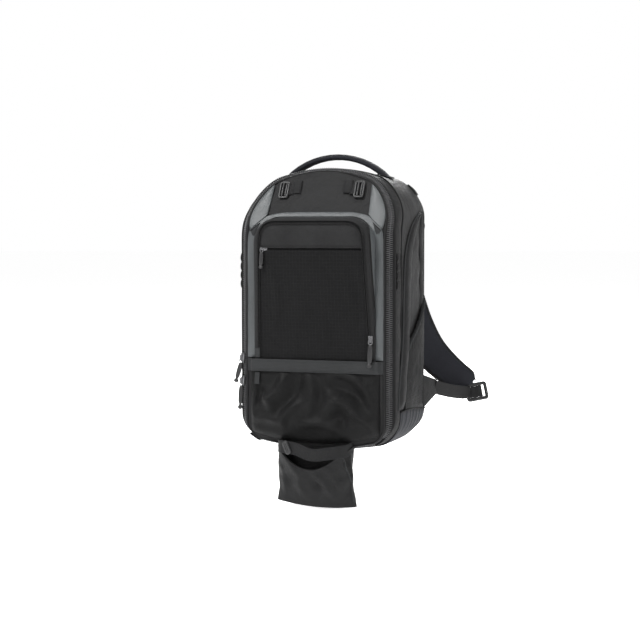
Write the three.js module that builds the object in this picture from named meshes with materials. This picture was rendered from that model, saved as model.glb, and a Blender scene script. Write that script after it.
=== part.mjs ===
// Camera backpack with a clamshell front panel, a foot pouch and two padded shoulder straps.
// Millimetres. X runs to the viewer's right, Y to the wearer's back, Z up.
// The pieces are laid out in bag coordinates, with the bag's base near z = 0,
// and the group is then moved so that its origin lies under the grab handle's apex.
import * as THREE from 'three';

// Driving dimensions of the bag
const PANEL_HALF = 127;          // half width of the zipped front panel
const PANEL_TOP = 450;           // height of the panel's top edge at its shoulders
const PANEL_BASE = 22;           // height of the panel's bottom edge at its corners
const PANEL_CORNER = 24;         // radius of the panel's bottom corners
const PANEL_SHOULDER = 45;       // radius of the panel's top corners
const CROWN = 40;                // rise of the top edge from the shoulders to the centre
const SAG = 18;                  // drop of the base from the corners to the centre
const FRONT_Y = -95;             // plane of the front panel
const BACK_Y = 98;               // plane of the back pad's face
const LEAN_DROP = 65;            // how far under PANEL_TOP the front starts to lean back
const LEAN_START = PANEL_TOP - LEAN_DROP;
const LEAN_SLOPE = 0.53;
const FOOT_START = 37;           // height below which the front curls under
const FOOT_SLOPE = 0.3;
const BODY_OUT = 22;             // how far the body's sides stand out past the panel
const BODY_HALF = PANEL_HALF + BODY_OUT;
const BODY_RISE = 10;            // how far the body's top stands over the panel's top edge
const BODY_DROP = 5;             // how far the body's base hangs under the panel's bottom edge
const BODY_FLAT = 6;             // how much flatter the body's top is than the panel's
const EDGE_ROUND = 12;           // rounding of the body's back edge
const BODY_SHOULDER = 59;
const BODY_CORNER = 44;
const SEAT = 0.3;                // gap left where one piece lies on another

// Walls and pads
const SHELL_WALL = 8;
const LID_WALL = 8;
const CLOTH = 1.5;
const TAPE = 1.2;
const BACK_PAD = 9.5;

// Main zip, a bevelled band between the panel and the body
const ZIP_DEPTH = 14.6;
const ZIP_WALL = 4.3;
const BEVEL_SIDE = 16;
const BEVEL_TOP = 4.5;
const BEVEL_BASE = 1.5;
const COIL_RISE = 2.2;
const RIM_GAP = 0.4;

// Front pocket
const POCKET_HALF = 112;
const POCKET_OVER = 24;          // how far the front pocket reaches over the lean's fold
const POCKET_TOP = LEAN_START + POCKET_OVER;
const POCKET_CORNER = 46;
const POCKET_DEPTH = 23;
const POCKET_GUSSET = 13;
const POCKET_FULL = 5;           // extra swell of the padded face
const BAND_LOW = 137;            // cross band
const BAND_HIGH = 159;
const BAND_LIFT = 7.2;
const BAND_HALF = 126;
const POCKET_ZIP_DROP = 55;
const POCKET_ZIP_Z = POCKET_TOP - POCKET_ZIP_DROP;
const POCKET_ZIP_HALF = 94;
const POCKET_ZIP_TALL = 9;
const ARCH_FOOT = 161;           // lower ends of the arch frame
const ARCH_RISE = 8;             // height of the arch frame over the pocket
const ARCH_CLEAR = 1.3;
const ARCH_SHELF = 93;           // half width at which the arch frame's top starts to fall
const ARCH_SHELF_RISE = 2;
const ARCH_BEND = 108;           // half width of the bend below the shelf
const ARCH_BEND_DROP = 9;
const LOWER_HALF = 120;
const LOWER_DEPTH = 17;

// Wings on the lid
const WING_INSET = 1;
const WING_TIP_WIDE = 4;
const WING_GAP = 2.2;

// Accessory tabs and buckles on the lid
const TAB_X = 48;
const TAB_WIDE = 16;
const BUCKLE_X = 70.5;
const BUCKLE_WIDE = 22;
const ACCESSORY_LONG = 31;
const ACCESSORY_LOW = PANEL_TOP - 7;
const ACCESSORY_HIGH = ACCESSORY_LOW + ACCESSORY_LONG;
const ACCESSORY_THICK = 4;

// Grab handle
const HANDLE_Y = 25;
const HANDLE_HALF = 97;
const HANDLE_RISE = 75;          // height of the handle's apex over PANEL_TOP
const HANDLE_TOP = PANEL_TOP + HANDLE_RISE;
const HANDLE_THICK = 10.5;
const HANDLE_WIDE = 26;
const ANCHOR_LONG = 24;

// Side pieces
const SIDE_LOW = 72;
const SIDE_HIGH = LEAN_START - 1;
const BOTTLE_BULGE = 5.5;
const BOOT_HIGH = 69;
const SIDE_TAB_LONG = 12;
const SIDE_TAB_THICK = 3.4;
const SIDE_TAB_SIZE = [SIDE_TAB_THICK, SIDE_TAB_LONG, 14];
const GUSSET_LOW = 238;
const GUSSET_HIGH = 348;
const GUSSET_BUMP = 2.4;

// Shoulder straps
const STRAP_WIDE = 62;
const STRAP_END_WIDE = 38;
const STRAP_THICK = 12;
const STRAP_TURN = 20;           // degrees that the hanging straps turn outward
const WEBBING_WIDE = 25;
const LOCK_LONG = 32;
const LOCK_WIDE = 37;
const LOCK_THICK = 6;
const SLOT_TALL = 3.6;

// Foot pouch under the front edge
const POUCH_TOP_HALF = 68;
const POUCH_LOW_HALF = 76;
const POUCH_BACK_Y = -78;
const POUCH_TOP_DEPTH = 46;
const POUCH_LOW_DEPTH = 15;
const POUCH_LOW_Z = -97;
const POUCH_DROOP = 27;
const POUCH_WALL = 1.6;
const POUCH_BAND_WIDE = 22;
const POUCH_BAND_SWELL = 18;
const POUCH_BAND_THICK = 2;
const POUCH_BUCKLE_THICK = 3;

// Cloth tabs at the ends of the front pocket's zip
const ZIP_TAB_OUT = 2;
const ZIP_TAB_IN = 9;
const UPPER_TAB = { low: BAND_HIGH + 2, high: BAND_HIGH + 19, liftLow: 5, liftHigh: 5.4 };
const LOWER_TAB = { low: BAND_LOW - 23, high: BAND_LOW - 2, liftLow: 8.8, liftHigh: 5.6 };

// Zip sliders and their moulded pulls
const SLIDER_WIDE = 9;
const SLIDER_THICK = 4;
const SLIDER_LONG = 14;
const PULL_THICK = 4.4;
const UPPER_SLIDER_Z = 159;
const LOWER_SLIDER_Z = 118;
const POCKET_SLIDER_X = 88;
const ARCH_SLIDER_X = 105.5;
const ARCH_SLIDER_Z = 198;

// How far each pull's lower end hangs from its top, as [x, y, z]
const UPPER_PULL_HANG = [-11, -1.5, -39];
const LOWER_PULL_HANG = [-1, -4, -46];
const POCKET_PULL_HANG = [-1.5, -0.6, -31];
const ARCH_PULL_HANG = [-1.5, -0.6, -47];
const PULL_DROP = 5;             // how far under its slider a pull's top sits

// Cells along an outline's base or top, corner, side and shoulder
const CELL_COUNTS = { flat: 6, corner: 3, side: 5, shoulder: 5 };

// Body sections from the zip's edge to the back: depth is a share of the body's depth,
// side and end are shares of EDGE_ROUND, flat of BODY_FLAT, and shoulder and corner of their radii.
const BODY_SECTIONS = [
  { depth: 0.0, side: 0.48, end: 0.42, flat: 0.0, shoulder: 1.0, corner: 0.86 },
  { depth: 0.1, side: 0.24, end: 0.0, flat: 0.8, shoulder: 0.96, corner: 0.9 },
  { depth: 0.36, side: 0.0, end: 0.0, flat: 1.0, shoulder: 0.88, corner: 0.96 },
  { depth: 0.78, side: 0.0, end: 0.0, flat: 1.0, shoulder: 0.78, corner: 1.0 },
  { depth: 0.95, side: 0.2, end: 0.25, flat: 1.0, shoulder: 0.76, corner: 0.96 },
  { depth: 1.0, side: 0.55, end: 0.8, flat: 1.0, shoulder: 0.72, corner: 0.9 },
];

// Front pocket rows from its foot up: height is a share of the pocket's height,
// rise a share of POCKET_DEPTH and full a share of POCKET_FULL.
const POCKET_ROWS = [
  { height: 0.0, rise: 0.14, full: 0.0 },
  { height: 0.16, rise: 0.22, full: 0.4 },
  { height: 0.4, rise: 0.5, full: 0.8 },
  { height: 0.62, rise: 0.78, full: 1.0 },
  { height: 0.785, rise: 0.96, full: 0.9 },
  { height: 0.87, rise: 1.0, full: 1.0 },
  { height: 0.94, rise: 1.0, full: 0.8 },
  { height: 0.985, rise: 0.9, full: 0.2 },
  { height: 1.0, rise: 0.0, full: 0.0 },
];

// Lower pocket rows from the base up, with the same columns for LOWER_DEPTH
const LOWER_ROWS = [
  { height: 0.0, rise: 0.0, full: 0.0 },
  { height: 0.12, rise: 0.6, full: 0.2 },
  { height: 0.25, rise: 0.8, full: 0.5 },
  { height: 0.5, rise: 0.75, full: 1.0 },
  { height: 0.8, rise: 0.35, full: 0.6 },
  { height: 1.0, rise: 0.19, full: 0.0 },
];

// Front edge of the side panel: height is a share of the way from SIDE_LOW to SIDE_HIGH,
// and back a share of the way from the zip's edge to the back.
const SIDE_FRONT = [
  { height: 0.0, back: 0.12 },
  { height: 0.23, back: 0.232 },
  { height: 0.52, back: 0.202 },
  { height: 0.8, back: 0.202 },
  { height: 0.95, back: 0.297 },
  { height: 1.0, back: 0.355 },
];
const SIDE_REAR_Y = 58;

// Bottle pocket's slanting mouth, with the same columns
const MOUTH_FRONT = { height: 0.272, back: 0.262 };
const MOUTH_REAR = { height: 0.54, back: 0.82 };

// Route of a shoulder strap's centre line, from the yoke to its lower end:
// shares of how far it goes out to the side, back and down
const STRAP_X = 52;
const STRAP_OUT = 146;
const STRAP_BACK = 120;
const STRAP_DOWN = 350;
const STRAP_ROUTE = [
  { out: 0.0, back: 0.0, down: 0.0 },
  { out: 0.055, back: 0.092, down: 0.123 },
  { out: 0.151, back: 0.25, down: 0.294 },
  { out: 0.247, back: 0.45, down: 0.48 },
  { out: 0.342, back: 0.683, down: 0.663 },
  { out: 0.493, back: 0.858, down: 0.811 },
  { out: 0.719, back: 0.95, down: 0.911 },
  { out: 1.0, back: 1.0, down: 1.0 },
];
const WING_ROOT = { inset: 6, low: 52, high: 124 };
const WING_END = { out: 6, back: 39, low: 83, high: 109 };

// Back pad and yoke
const PAD_INSET = 31;
const PAD_CORNER = 40;
const PAD_SHOULDER = 50;
const PAD_RISE = 12;
const YOKE = { wide: 170, thick: 3, tall: 30 };

// Colours
const COLOURS = {
  body: 0x1d1f22,
  coated: 0x6f747a,
  ripstop: 0x26292d,
  band: 0x4c4f53,
  boot: 0x23282f,
  strap: 0x15171c,
  plastic: 0x101113,
  metal: 0xa9abae,
  webbing: 0x2b2d30,
};

const SHELL_FRONT_Y = FRONT_Y + ZIP_DEPTH + RIM_GAP;
const SHELL_BACK_Y = BACK_Y - BACK_PAD - SEAT;

const lerp = (a, b, t) => a + (b - a) * t;
const clamp = (value) => Math.min(1, Math.max(0, value));
const share = (value, from, to) => clamp((value - from) / (to - from));

// Value of a table's column at a height or depth, on straight lines between its rows
function along(rows, key, column, at) {
  let index = rows.findIndex((row) => row[key] >= at);
  if (index < 0) index = rows.length - 1;
  if (index === 0) return rows[0][column];
  const before = rows[index - 1];
  const after = rows[index];
  return lerp(before[column], after[column], (at - before[key]) / (after[key] - before[key]));
}

// How far the front stands back from FRONT_Y at a height
function lean(z) {
  if (z > LEAN_START) return LEAN_SLOPE * (z - LEAN_START);
  if (z < FOOT_START) return FOOT_SLOPE * (FOOT_START - z);
  return 0;
}

// Height after the top edge's crown and the base's sag
function bent(x, z, section) {
  const across = 1 - (x / section.half) ** 2;
  const rise = Math.max(0, (z - LEAN_START) / (section.top - LEAN_START));
  const drop = Math.max(0, (FOOT_START - z) / (FOOT_START - section.base));
  return z + section.crown * across * rise - SAG * across * drop;
}

// The body's front leans with the panel, and its back stays upright
function leaned(y, z) {
  return y + (lean(z) * (SHELL_BACK_Y - y)) / (SHELL_BACK_Y - FRONT_Y);
}

// Closed solid from points and triangles, turned outward
function solid(points, faces) {
  let volume = 0;
  const corner = faces.map((face) => face.map((index) => new THREE.Vector3(...points[index])));
  for (const [a, b, c] of corner) volume += a.dot(b.clone().cross(c));
  const index = faces.flatMap(([a, b, c]) => (volume < 0 ? [a, c, b] : [a, b, c]));
  const geometry = new THREE.BufferGeometry();
  geometry.setAttribute('position', new THREE.Float32BufferAttribute(points.flat(), 3));
  geometry.setIndex(index);
  geometry.computeVertexNormals();
  return geometry;
}

// Solid between two grids of the same size, joined along their four edges
function slab(columns, rows, front, back) {
  const points = [];
  const faces = [];
  const side = (columns + 1) * (rows + 1);
  const at = (layer, i, j) => layer * side + j * (columns + 1) + i;
  for (const surface of [front, back]) {
    for (let j = 0; j <= rows; j += 1) {
      for (let i = 0; i <= columns; i += 1) points.push(surface(i / columns, j / rows, i, j));
    }
  }
  const quad = (a, b, c, d) => faces.push([a, b, c], [a, c, d]);
  for (let j = 0; j < rows; j += 1) {
    for (let i = 0; i < columns; i += 1) {
      quad(at(0, i, j), at(0, i + 1, j), at(0, i + 1, j + 1), at(0, i, j + 1));
      quad(at(1, i, j), at(1, i, j + 1), at(1, i + 1, j + 1), at(1, i + 1, j));
    }
  }
  for (let i = 0; i < columns; i += 1) {
    quad(at(0, i, 0), at(1, i, 0), at(1, i + 1, 0), at(0, i + 1, 0));
    quad(at(0, i, rows), at(0, i + 1, rows), at(1, i + 1, rows), at(1, i, rows));
  }
  for (let j = 0; j < rows; j += 1) {
    quad(at(0, 0, j), at(0, 0, j + 1), at(1, 0, j + 1), at(1, 0, j));
    quad(at(0, columns, j), at(1, columns, j), at(1, columns, j + 1), at(0, columns, j + 1));
  }
  return solid(points, faces);
}

// Solid through rings of equal count. A closed loft joins its last ring to its first,
// and an open one has a flat fan over each end.
function loft(rings, closed = false) {
  const count = rings[0].length;
  const points = rings.flat();
  const faces = [];
  const spans = closed ? rings.length : rings.length - 1;
  for (let ring = 0; ring < spans; ring += 1) {
    const next = (ring + 1) % rings.length;
    for (let i = 0; i < count; i += 1) {
      const j = (i + 1) % count;
      const corners = [ring * count + i, ring * count + j, next * count + j, next * count + i];
      faces.push([corners[0], corners[1], corners[2]], [corners[0], corners[2], corners[3]]);
    }
  }
  if (!closed) {
    for (const [ring, turn] of [[0, 1], [rings.length - 1, -1]]) {
      const centre = rings[ring].reduce((sum, p) => sum.map((s, k) => s + p[k] / count), [0, 0, 0]);
      points.push(centre);
      for (let i = 0; i < count; i += 1) {
        const edge = [ring * count + i, ring * count + ((i + 1) % count)];
        faces.push([points.length - 1, ...(turn > 0 ? edge.reverse() : edge)]);
      }
    }
  }
  return solid(points, faces);
}

// Right half of an outline as half widths and heights, from its lower corner to its shoulder
function outlineRows({ half, top, base, corner, shoulder }) {
  const rows = [];
  for (let k = 0; k <= CELL_COUNTS.corner; k += 1) {
    const angle = (Math.PI / 2) * (k / CELL_COUNTS.corner);
    rows.push({
      x: half - corner + corner * Math.sin(angle),
      z: base + corner - corner * Math.cos(angle),
    });
  }
  // The side's cells end at LEAN_START, where the front surface folds
  const sideLow = base + corner;
  const sideHigh = LEAN_START;
  for (let k = 1; k <= CELL_COUNTS.side; k += 1) {
    rows.push({ x: half, z: lerp(sideLow, sideHigh, k / CELL_COUNTS.side) });
  }
  for (let k = 0; k <= CELL_COUNTS.shoulder; k += 1) {
    const angle = (Math.PI / 2) * (k / CELL_COUNTS.shoulder);
    rows.push({
      x: half - shoulder + shoulder * Math.cos(angle),
      z: top - shoulder + shoulder * Math.sin(angle),
    });
  }
  return rows;
}

// Closed outline at one depth, bent and leaned
function outlineRing(section, y) {
  const rows = outlineRows(section);
  const place = (x, z) => {
    const height = bent(x, z, section);
    return [x, leaned(y, height), height];
  };
  const low = rows[0];
  const high = rows[rows.length - 1];
  const ring = [];
  for (let k = 0; k < CELL_COUNTS.flat; k += 1) {
    ring.push(place(lerp(-low.x, low.x, k / CELL_COUNTS.flat), low.z));
  }
  for (const row of rows) ring.push(place(row.x, row.z));
  for (let k = 1; k < CELL_COUNTS.flat; k += 1) {
    ring.push(place(lerp(high.x, -high.x, k / CELL_COUNTS.flat), high.z));
  }
  for (const row of rows.slice(1).reverse()) ring.push(place(-row.x, row.z));
  return ring;
}

// Section of the zip's bevel at a share of the way from the panel to the body
function bevelSection(outset) {
  return {
    half: PANEL_HALF + BEVEL_SIDE * outset,
    top: PANEL_TOP + BEVEL_TOP * outset,
    base: PANEL_BASE - BEVEL_BASE * outset,
    corner: PANEL_CORNER + BEVEL_SIDE * outset,
    shoulder: PANEL_SHOULDER + BEVEL_SIDE * outset,
    crown: CROWN,
  };
}

// Body section at a depth share, grown by an offset
function bodySection(depth, grow = 0) {
  const column = (name) => along(BODY_SECTIONS, 'depth', name, depth);
  return {
    half: BODY_HALF - EDGE_ROUND * column('side') + grow,
    top: PANEL_TOP + BODY_RISE - EDGE_ROUND * column('end') + grow,
    base: PANEL_BASE - BODY_DROP + EDGE_ROUND * column('end') - grow,
    corner: BODY_CORNER * column('corner') + grow,
    shoulder: BODY_SHOULDER * column('shoulder') + grow,
    crown: CROWN - BODY_FLAT * column('flat'),
  };
}

const bodyY = (depth) => lerp(SHELL_FRONT_Y, SHELL_BACK_Y, depth);
const bodyDepth = (y) => (y - SHELL_FRONT_Y) / (SHELL_BACK_Y - SHELL_FRONT_Y);
const bodySide = (y) => bodySection(clamp(bodyDepth(y))).half;

// Point on the leaning front panel at a real height, offset forward
const onPanel = (x, z, offset) => [x, FRONT_Y + lean(z) - offset, z];

// Padded tray of the main compartment, open to the front
function makeShell() {
  const outer = BODY_SECTIONS.map(({ depth }) => outlineRing(bodySection(depth), bodyY(depth)));
  const innerBack = bodyDepth(SHELL_BACK_Y - SHELL_WALL);
  const inner = [innerBack, 0.78, 0.4, 0].map((depth) => {
    const section = bodySection(depth, -SHELL_WALL);
    return outlineRing(section, bodyY(depth));
  });
  return loft([...inner, ...outer]);
}

// Front panel: rows across the outline, folded where the front leans
function makeLid() {
  const section = bevelSection(-2 * SEAT / BEVEL_SIDE);
  section.top -= 2 * SEAT;
  section.base += 2 * SEAT;
  const rows = outlineRows(section);
  const surface = (offset) => (u, v, i, j) => {
    const row = rows[j];
    const x = lerp(-row.x, row.x, u);
    const z = bent(x, row.z, section);
    return [x, FRONT_Y + lean(z) + offset, z];
  };
  return slab(CELL_COUNTS.flat, rows.length - 1, surface(0), surface(LID_WALL));
}

// Zip band: a bevelled loop with its coil as a ridge along the middle
function makeZipBand() {
  const backY = FRONT_Y + ZIP_DEPTH;
  const bevelY = (t) => lerp(FRONT_Y, backY, t);
  const lift = COIL_RISE / (BEVEL_SIDE * Math.SQRT2);
  const profile = [
    { outset: 0, y: FRONT_Y },
    { outset: 0.3, y: bevelY(0.3) },
    { outset: 0.4 + lift, y: bevelY(0.4) - COIL_RISE * Math.SQRT1_2 },
    { outset: 0.6 + lift, y: bevelY(0.6) - COIL_RISE * Math.SQRT1_2 },
    { outset: 0.7, y: bevelY(0.7) },
    { outset: 1, y: backY },
    { outset: 1 - ZIP_WALL / BEVEL_SIDE, y: backY },
    { outset: 0, y: FRONT_Y + ZIP_WALL },
  ];
  return loft(profile.map(({ outset, y }) => outlineRing(bevelSection(outset), y)), true);
}

// Skin of tough cloth round the body's lower sides and base
function makeBoot() {
  const depths = BODY_SECTIONS.map((row) => row.depth).slice(1, -1);
  const inner = SEAT;
  const outer = SEAT + TAPE;
  const arc = (grow) => (u, v, i, j) => {
    const section = bodySection(depths[j], grow);
    const rows = outlineRows(section).slice(0, CELL_COUNTS.corner + 1);
    const right = [...rows, { x: section.half, z: BOOT_HIGH }];
    const flat = [];
    for (let k = 1; k < CELL_COUNTS.flat; k += 1) {
      flat.push({ x: lerp(-rows[0].x, rows[0].x, k / CELL_COUNTS.flat), z: rows[0].z });
    }
    const left = right.map(({ x, z }) => ({ x: -x, z })).reverse();
    const { x, z } = [...left, ...flat, ...right][i];
    const height = bent(x, z, section);
    return [x, leaned(bodyY(depths[j]), height), height];
  };
  const columns = 2 * (CELL_COUNTS.corner + 2) + CELL_COUNTS.flat - 2;
  return slab(columns, depths.length - 1, arc(outer), arc(inner));
}

// Table rows with one more at each height where the panel folds
function withFolds(rows, low, high) {
  const folds = [FOOT_START, LEAN_START].filter((z) => z > low && z < high).map((z) => {
    const height = (z - low) / (high - low);
    return { height, rise: along(rows, 'height', 'rise', height), full: along(rows, 'height', 'full', height) };
  });
  return [...rows, ...folds].sort((a, b) => a.height - b.height);
}

// Padded dome over the panel between table rows, hollow behind
function makeDome({ rows: table, half, low, high, depth, full, cornerHigh, gusset, sag }) {
  const rows = withFolds(table, low, high);
  const acrossShares = [-1, -1, -0.72, -0.36, 0, 0.36, 0.72, 1, 1];
  const lastColumn = acrossShares.length - 1;
  const halfAt = (z) => {
    const above = z - (high - cornerHigh);
    if (above <= 0) return half;
    return half - cornerHigh + Math.sqrt(Math.max(0, cornerHigh ** 2 - above ** 2));
  };
  const surface = (wall) => (u, v, i, j) => {
    const row = rows[j];
    const edge = i === 0 || i === lastColumn;
    const lastRow = row.height === 1;
    const firstRow = row.height === 0;
    let z = lerp(low, high, row.height);
    if (lastRow) z -= wall;
    if (firstRow) z += wall;
    const outer = halfAt(lerp(low, high, Math.min(row.height, 0.998))) - wall;
    const inset = edge ? 0 : gusset * (0.35 + 0.65 * row.rise);
    const x = acrossShares[i] * (outer - inset);
    const swell = full * row.full * (1 - acrossShares[i] ** 2);
    if (sag) z -= sag * (1 - (x / half) ** 2) * (1 - row.height) ** 3;
    const rise = edge || row.rise === 0 ? 0 : depth * row.rise + swell - wall;
    const panel = FRONT_Y + lean(z) - SEAT;
    const face = FRONT_Y + Math.min(0, lean(z)) - SEAT;
    return [x, rise > 0 ? Math.min(face - rise, panel - CLOTH) : panel, z];
  };
  return slab(lastColumn, rows.length - 1, surface(0), surface(CLOTH));
}

const makeFrontPocket = () => makeDome({
  rows: POCKET_ROWS,
  half: POCKET_HALF,
  low: POCKET_LOW,
  high: POCKET_TOP,
  depth: POCKET_DEPTH,
  full: POCKET_FULL,
  cornerHigh: POCKET_CORNER,
  gusset: POCKET_GUSSET,
  sag: 0,
});

const makeLowerPocket = () => makeDome({
  rows: LOWER_ROWS,
  half: LOWER_HALF,
  low: PANEL_BASE + 6,
  high: (BAND_LOW + BAND_HIGH) / 2 - SEAT,
  depth: LOWER_DEPTH,
  full: POCKET_FULL,
  cornerHigh: 0,
  gusset: 10,
  sag: SAG,
});

// Thin band laid on the panel between two lines of points at real heights
function panelBand(outer, inner, thick) {
  const surface = (offset) => (u, v, i, j) => {
    const a = inner[j];
    const b = outer[j];
    return onPanel(lerp(a.x, b.x, u), lerp(a.z, b.z, u), offset);
  };
  return slab(1, outer.length - 1, surface(SEAT + thick), surface(SEAT));
}

const mirrorLine = (line) => line.map(({ x, z }) => ({ x: -x, z }));

// Grey frame round the front pocket, an upside-down U
function makeArchFrame() {
  const gap = POCKET_HALF + SEAT;
  const cornerZ = POCKET_TOP - POCKET_CORNER;
  const edge = PANEL_HALF - 2 * SEAT;
  const arc = (degrees, grow) => ({
    x: gap - POCKET_CORNER + (POCKET_CORNER + grow) * Math.cos(THREE.MathUtils.degToRad(degrees)),
    z: cornerZ + (POCKET_CORNER + grow) * Math.sin(THREE.MathUtils.degToRad(degrees)),
  });
  const foldAngle = THREE.MathUtils.radToDeg(Math.asin((LEAN_START - cornerZ) / (POCKET_CORNER + ARCH_CLEAR)));
  const inner = [
    { x: gap, z: ARCH_FOOT },
    { x: gap, z: cornerZ - 20 },
    { x: gap, z: cornerZ },
    arc(foldAngle / 2, ARCH_CLEAR),
    arc(foldAngle, ARCH_CLEAR),
    arc(55, ARCH_CLEAR),
    arc(75, ARCH_CLEAR),
    { x: gap - POCKET_CORNER, z: POCKET_TOP + ARCH_CLEAR },
  ];
  const outer = [
    { x: edge, z: ARCH_FOOT },
    { x: edge, z: cornerZ - 20 },
    { x: edge, z: cornerZ },
    { x: edge - 1, z: lerp(cornerZ, LEAN_START, 0.5) },
    { x: edge - 3.5, z: LEAN_START },
    { x: ARCH_BEND, z: POCKET_TOP - ARCH_BEND_DROP },
    { x: ARCH_SHELF, z: POCKET_TOP + ARCH_SHELF_RISE },
    { x: gap - POCKET_CORNER, z: POCKET_TOP + ARCH_RISE },
  ];
  const join = (line) => [...mirrorLine(line), { x: 0, z: line[line.length - 1].z }, ...line.slice().reverse()];
  return panelBand(join(outer), join(inner), CLOTH);
}

// Grey wing on the lid's shoulder, between the arch frame and the zip
function makeWing(side) {
  const section = bevelSection(-WING_INSET / BEVEL_SIDE);
  const edge = (degrees) => {
    const angle = THREE.MathUtils.degToRad(degrees);
    const x = section.half - section.shoulder + section.shoulder * Math.cos(angle);
    const z = section.top - section.shoulder + section.shoulder * Math.sin(angle);
    return { x, z: bent(x, z, section) };
  };
  const outer = [
    { x: section.half - 3.4, z: LEAN_START + 3 },
    { x: section.half - 0.6, z: LEAN_START + 12 },
    ...[9, 28, 46, 60, 72].map(edge),
  ];
  const tip = outer[outer.length - 1];
  const inner = outer.map((point, k) => {
    const t = k / (outer.length - 1);
    return {
      x: lerp(ARCH_SHELF + WING_GAP / 2, tip.x - WING_TIP_WIDE, t),
      z: lerp(POCKET_TOP + ARCH_SHELF_RISE + WING_GAP, tip.z + 1.5, t),
    };
  });
  const shift = (line) => line.map(({ x, z }) => ({ x: side * x, z }));
  return panelBand(shift(outer), shift(inner), CLOTH);
}

// Webbing band across the front, lifted over the two pockets' edges
function makeCrossBand() {
  const stations = [-1, -0.965, -0.92, -0.7, -0.35, 0, 0.35, 0.7, 0.92, 0.965, 1];
  const lifts = [0, 0, 1, 1, 1, 1, 1, 1, 1, 0, 0];
  const surface = (offset) => (u, v, i, j) => {
    const x = stations[i] * BAND_HALF;
    return onPanel(x, lerp(BAND_LOW, BAND_HIGH, v), offset + lifts[i] * BAND_LIFT);
  };
  return slab(stations.length - 1, 1, surface(SEAT + TAPE), surface(SEAT));
}

// Box given by its centre and size
function box(centre, size) {
  const geometry = new THREE.BoxGeometry(...size);
  geometry.translate(...centre);
  return geometry;
}

const POCKET_LOW = (BAND_LOW + BAND_HIGH) / 2 + SEAT;

// How far the front pocket's face stands out from the panel at a height,
// with across as a share of the face's half width
function pocketRise(z, across) {
  const height = (z - POCKET_LOW) / (POCKET_TOP - POCKET_LOW);
  const column = (name) => along(POCKET_ROWS, 'height', name, height);
  return POCKET_DEPTH * column('rise') + POCKET_FULL * column('full') * (1 - across ** 2) + SEAT;
}

// Zip tape across the front pocket's face
const pocketZipFace = (x) => pocketRise(POCKET_ZIP_Z, x / (POCKET_HALF - POCKET_GUSSET)) + 2 * SEAT;

function makePocketZip() {
  const low = POCKET_ZIP_Z - POCKET_ZIP_TALL / 2;
  const surface = (offset) => (u, v) => {
    const x = lerp(-POCKET_ZIP_HALF, POCKET_ZIP_HALF, u);
    return onPanel(x, low + POCKET_ZIP_TALL * v, pocketZipFace(x) + offset);
  };
  return slab(8, 1, surface(TAPE), surface(0));
}

// Accessory tab and buckle on the lid beside the centre
function makeLidPatch(x, wide, low, high, thick) {
  const surface = (offset) => (u, v) => onPanel(x + wide * (u - 0.5), lerp(low, high, v), offset);
  return slab(1, 1, surface(SEAT + thick), surface(SEAT));
}

// Ladder buckle: a plate with two slots
function makeBuckle(long, wide, thick) {
  const plate = new THREE.Shape();
  const cut = 3;
  plate.moveTo(-wide / 2 + cut, -long / 2);
  plate.lineTo(wide / 2 - cut, -long / 2);
  plate.lineTo(wide / 2, -long / 2 + cut);
  plate.lineTo(wide / 2, long / 2 - cut);
  plate.lineTo(wide / 2 - cut, long / 2);
  plate.lineTo(-wide / 2 + cut, long / 2);
  plate.lineTo(-wide / 2, long / 2 - cut);
  plate.lineTo(-wide / 2, -long / 2 + cut);
  plate.closePath();
  for (const centre of [-0.22, 0.22]) {
    const slot = new THREE.Path();
    const halfWide = wide * 0.36;
    const halfTall = SLOT_TALL / 2;
    slot.moveTo(-halfWide, centre * long - halfTall);
    slot.lineTo(-halfWide, centre * long + halfTall);
    slot.lineTo(halfWide, centre * long + halfTall);
    slot.lineTo(halfWide, centre * long - halfTall);
    slot.closePath();
    plate.holes.push(slot);
  }
  const geometry = new THREE.ExtrudeGeometry(plate, { depth: thick, bevelEnabled: false, steps: 1 });
  geometry.translate(0, 0, -thick / 2);
  return geometry;
}

// Sweep of a flat section along a route, each station with its own width and face normal
function ribbon(route, widths, normals, thick, roundEdge) {
  const rings = route.map((point, k) => {
    const before = route[Math.max(0, k - 1)];
    const after = route[Math.min(route.length - 1, k + 1)];
    const direction = new THREE.Vector3().subVectors(after, before).normalize();
    const normal = normals[k].clone().addScaledVector(direction, -normals[k].dot(direction)).normalize();
    const across = new THREE.Vector3().crossVectors(normal, direction).normalize();
    const half = widths[k] / 2;
    const edge = Math.min(half, roundEdge);
    const corners = [
      [-half, 0], [-half + edge * 0.4, thick / 2], [half - edge * 0.4, thick / 2],
      [half, 0], [half - edge * 0.4, -thick / 2], [-half + edge * 0.4, -thick / 2],
    ];
    return corners.map(([a, b]) => point.clone()
      .addScaledVector(across, a).addScaledVector(normal, b).toArray());
  });
  return loft(rings);
}

const vectors = (list) => list.map((point) => new THREE.Vector3(...point));

// Height of a ring's upper or lower line at a distance from the centre
function heightOn(ring, x, upper) {
  let best = upper ? -Infinity : Infinity;
  ring.forEach(([ax, , az], k) => {
    const [bx, , bz] = ring[(k + 1) % ring.length];
    if (ax === bx || (x - ax) * (x - bx) > 0) return;
    const z = lerp(az, bz, (x - ax) / (bx - ax));
    best = upper ? Math.max(best, z) : Math.min(best, z);
  });
  return best;
}

const topRing = outlineRing(bodySection(0.5), 0);
const ANCHOR_TOP = SEAT + 3;

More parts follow.
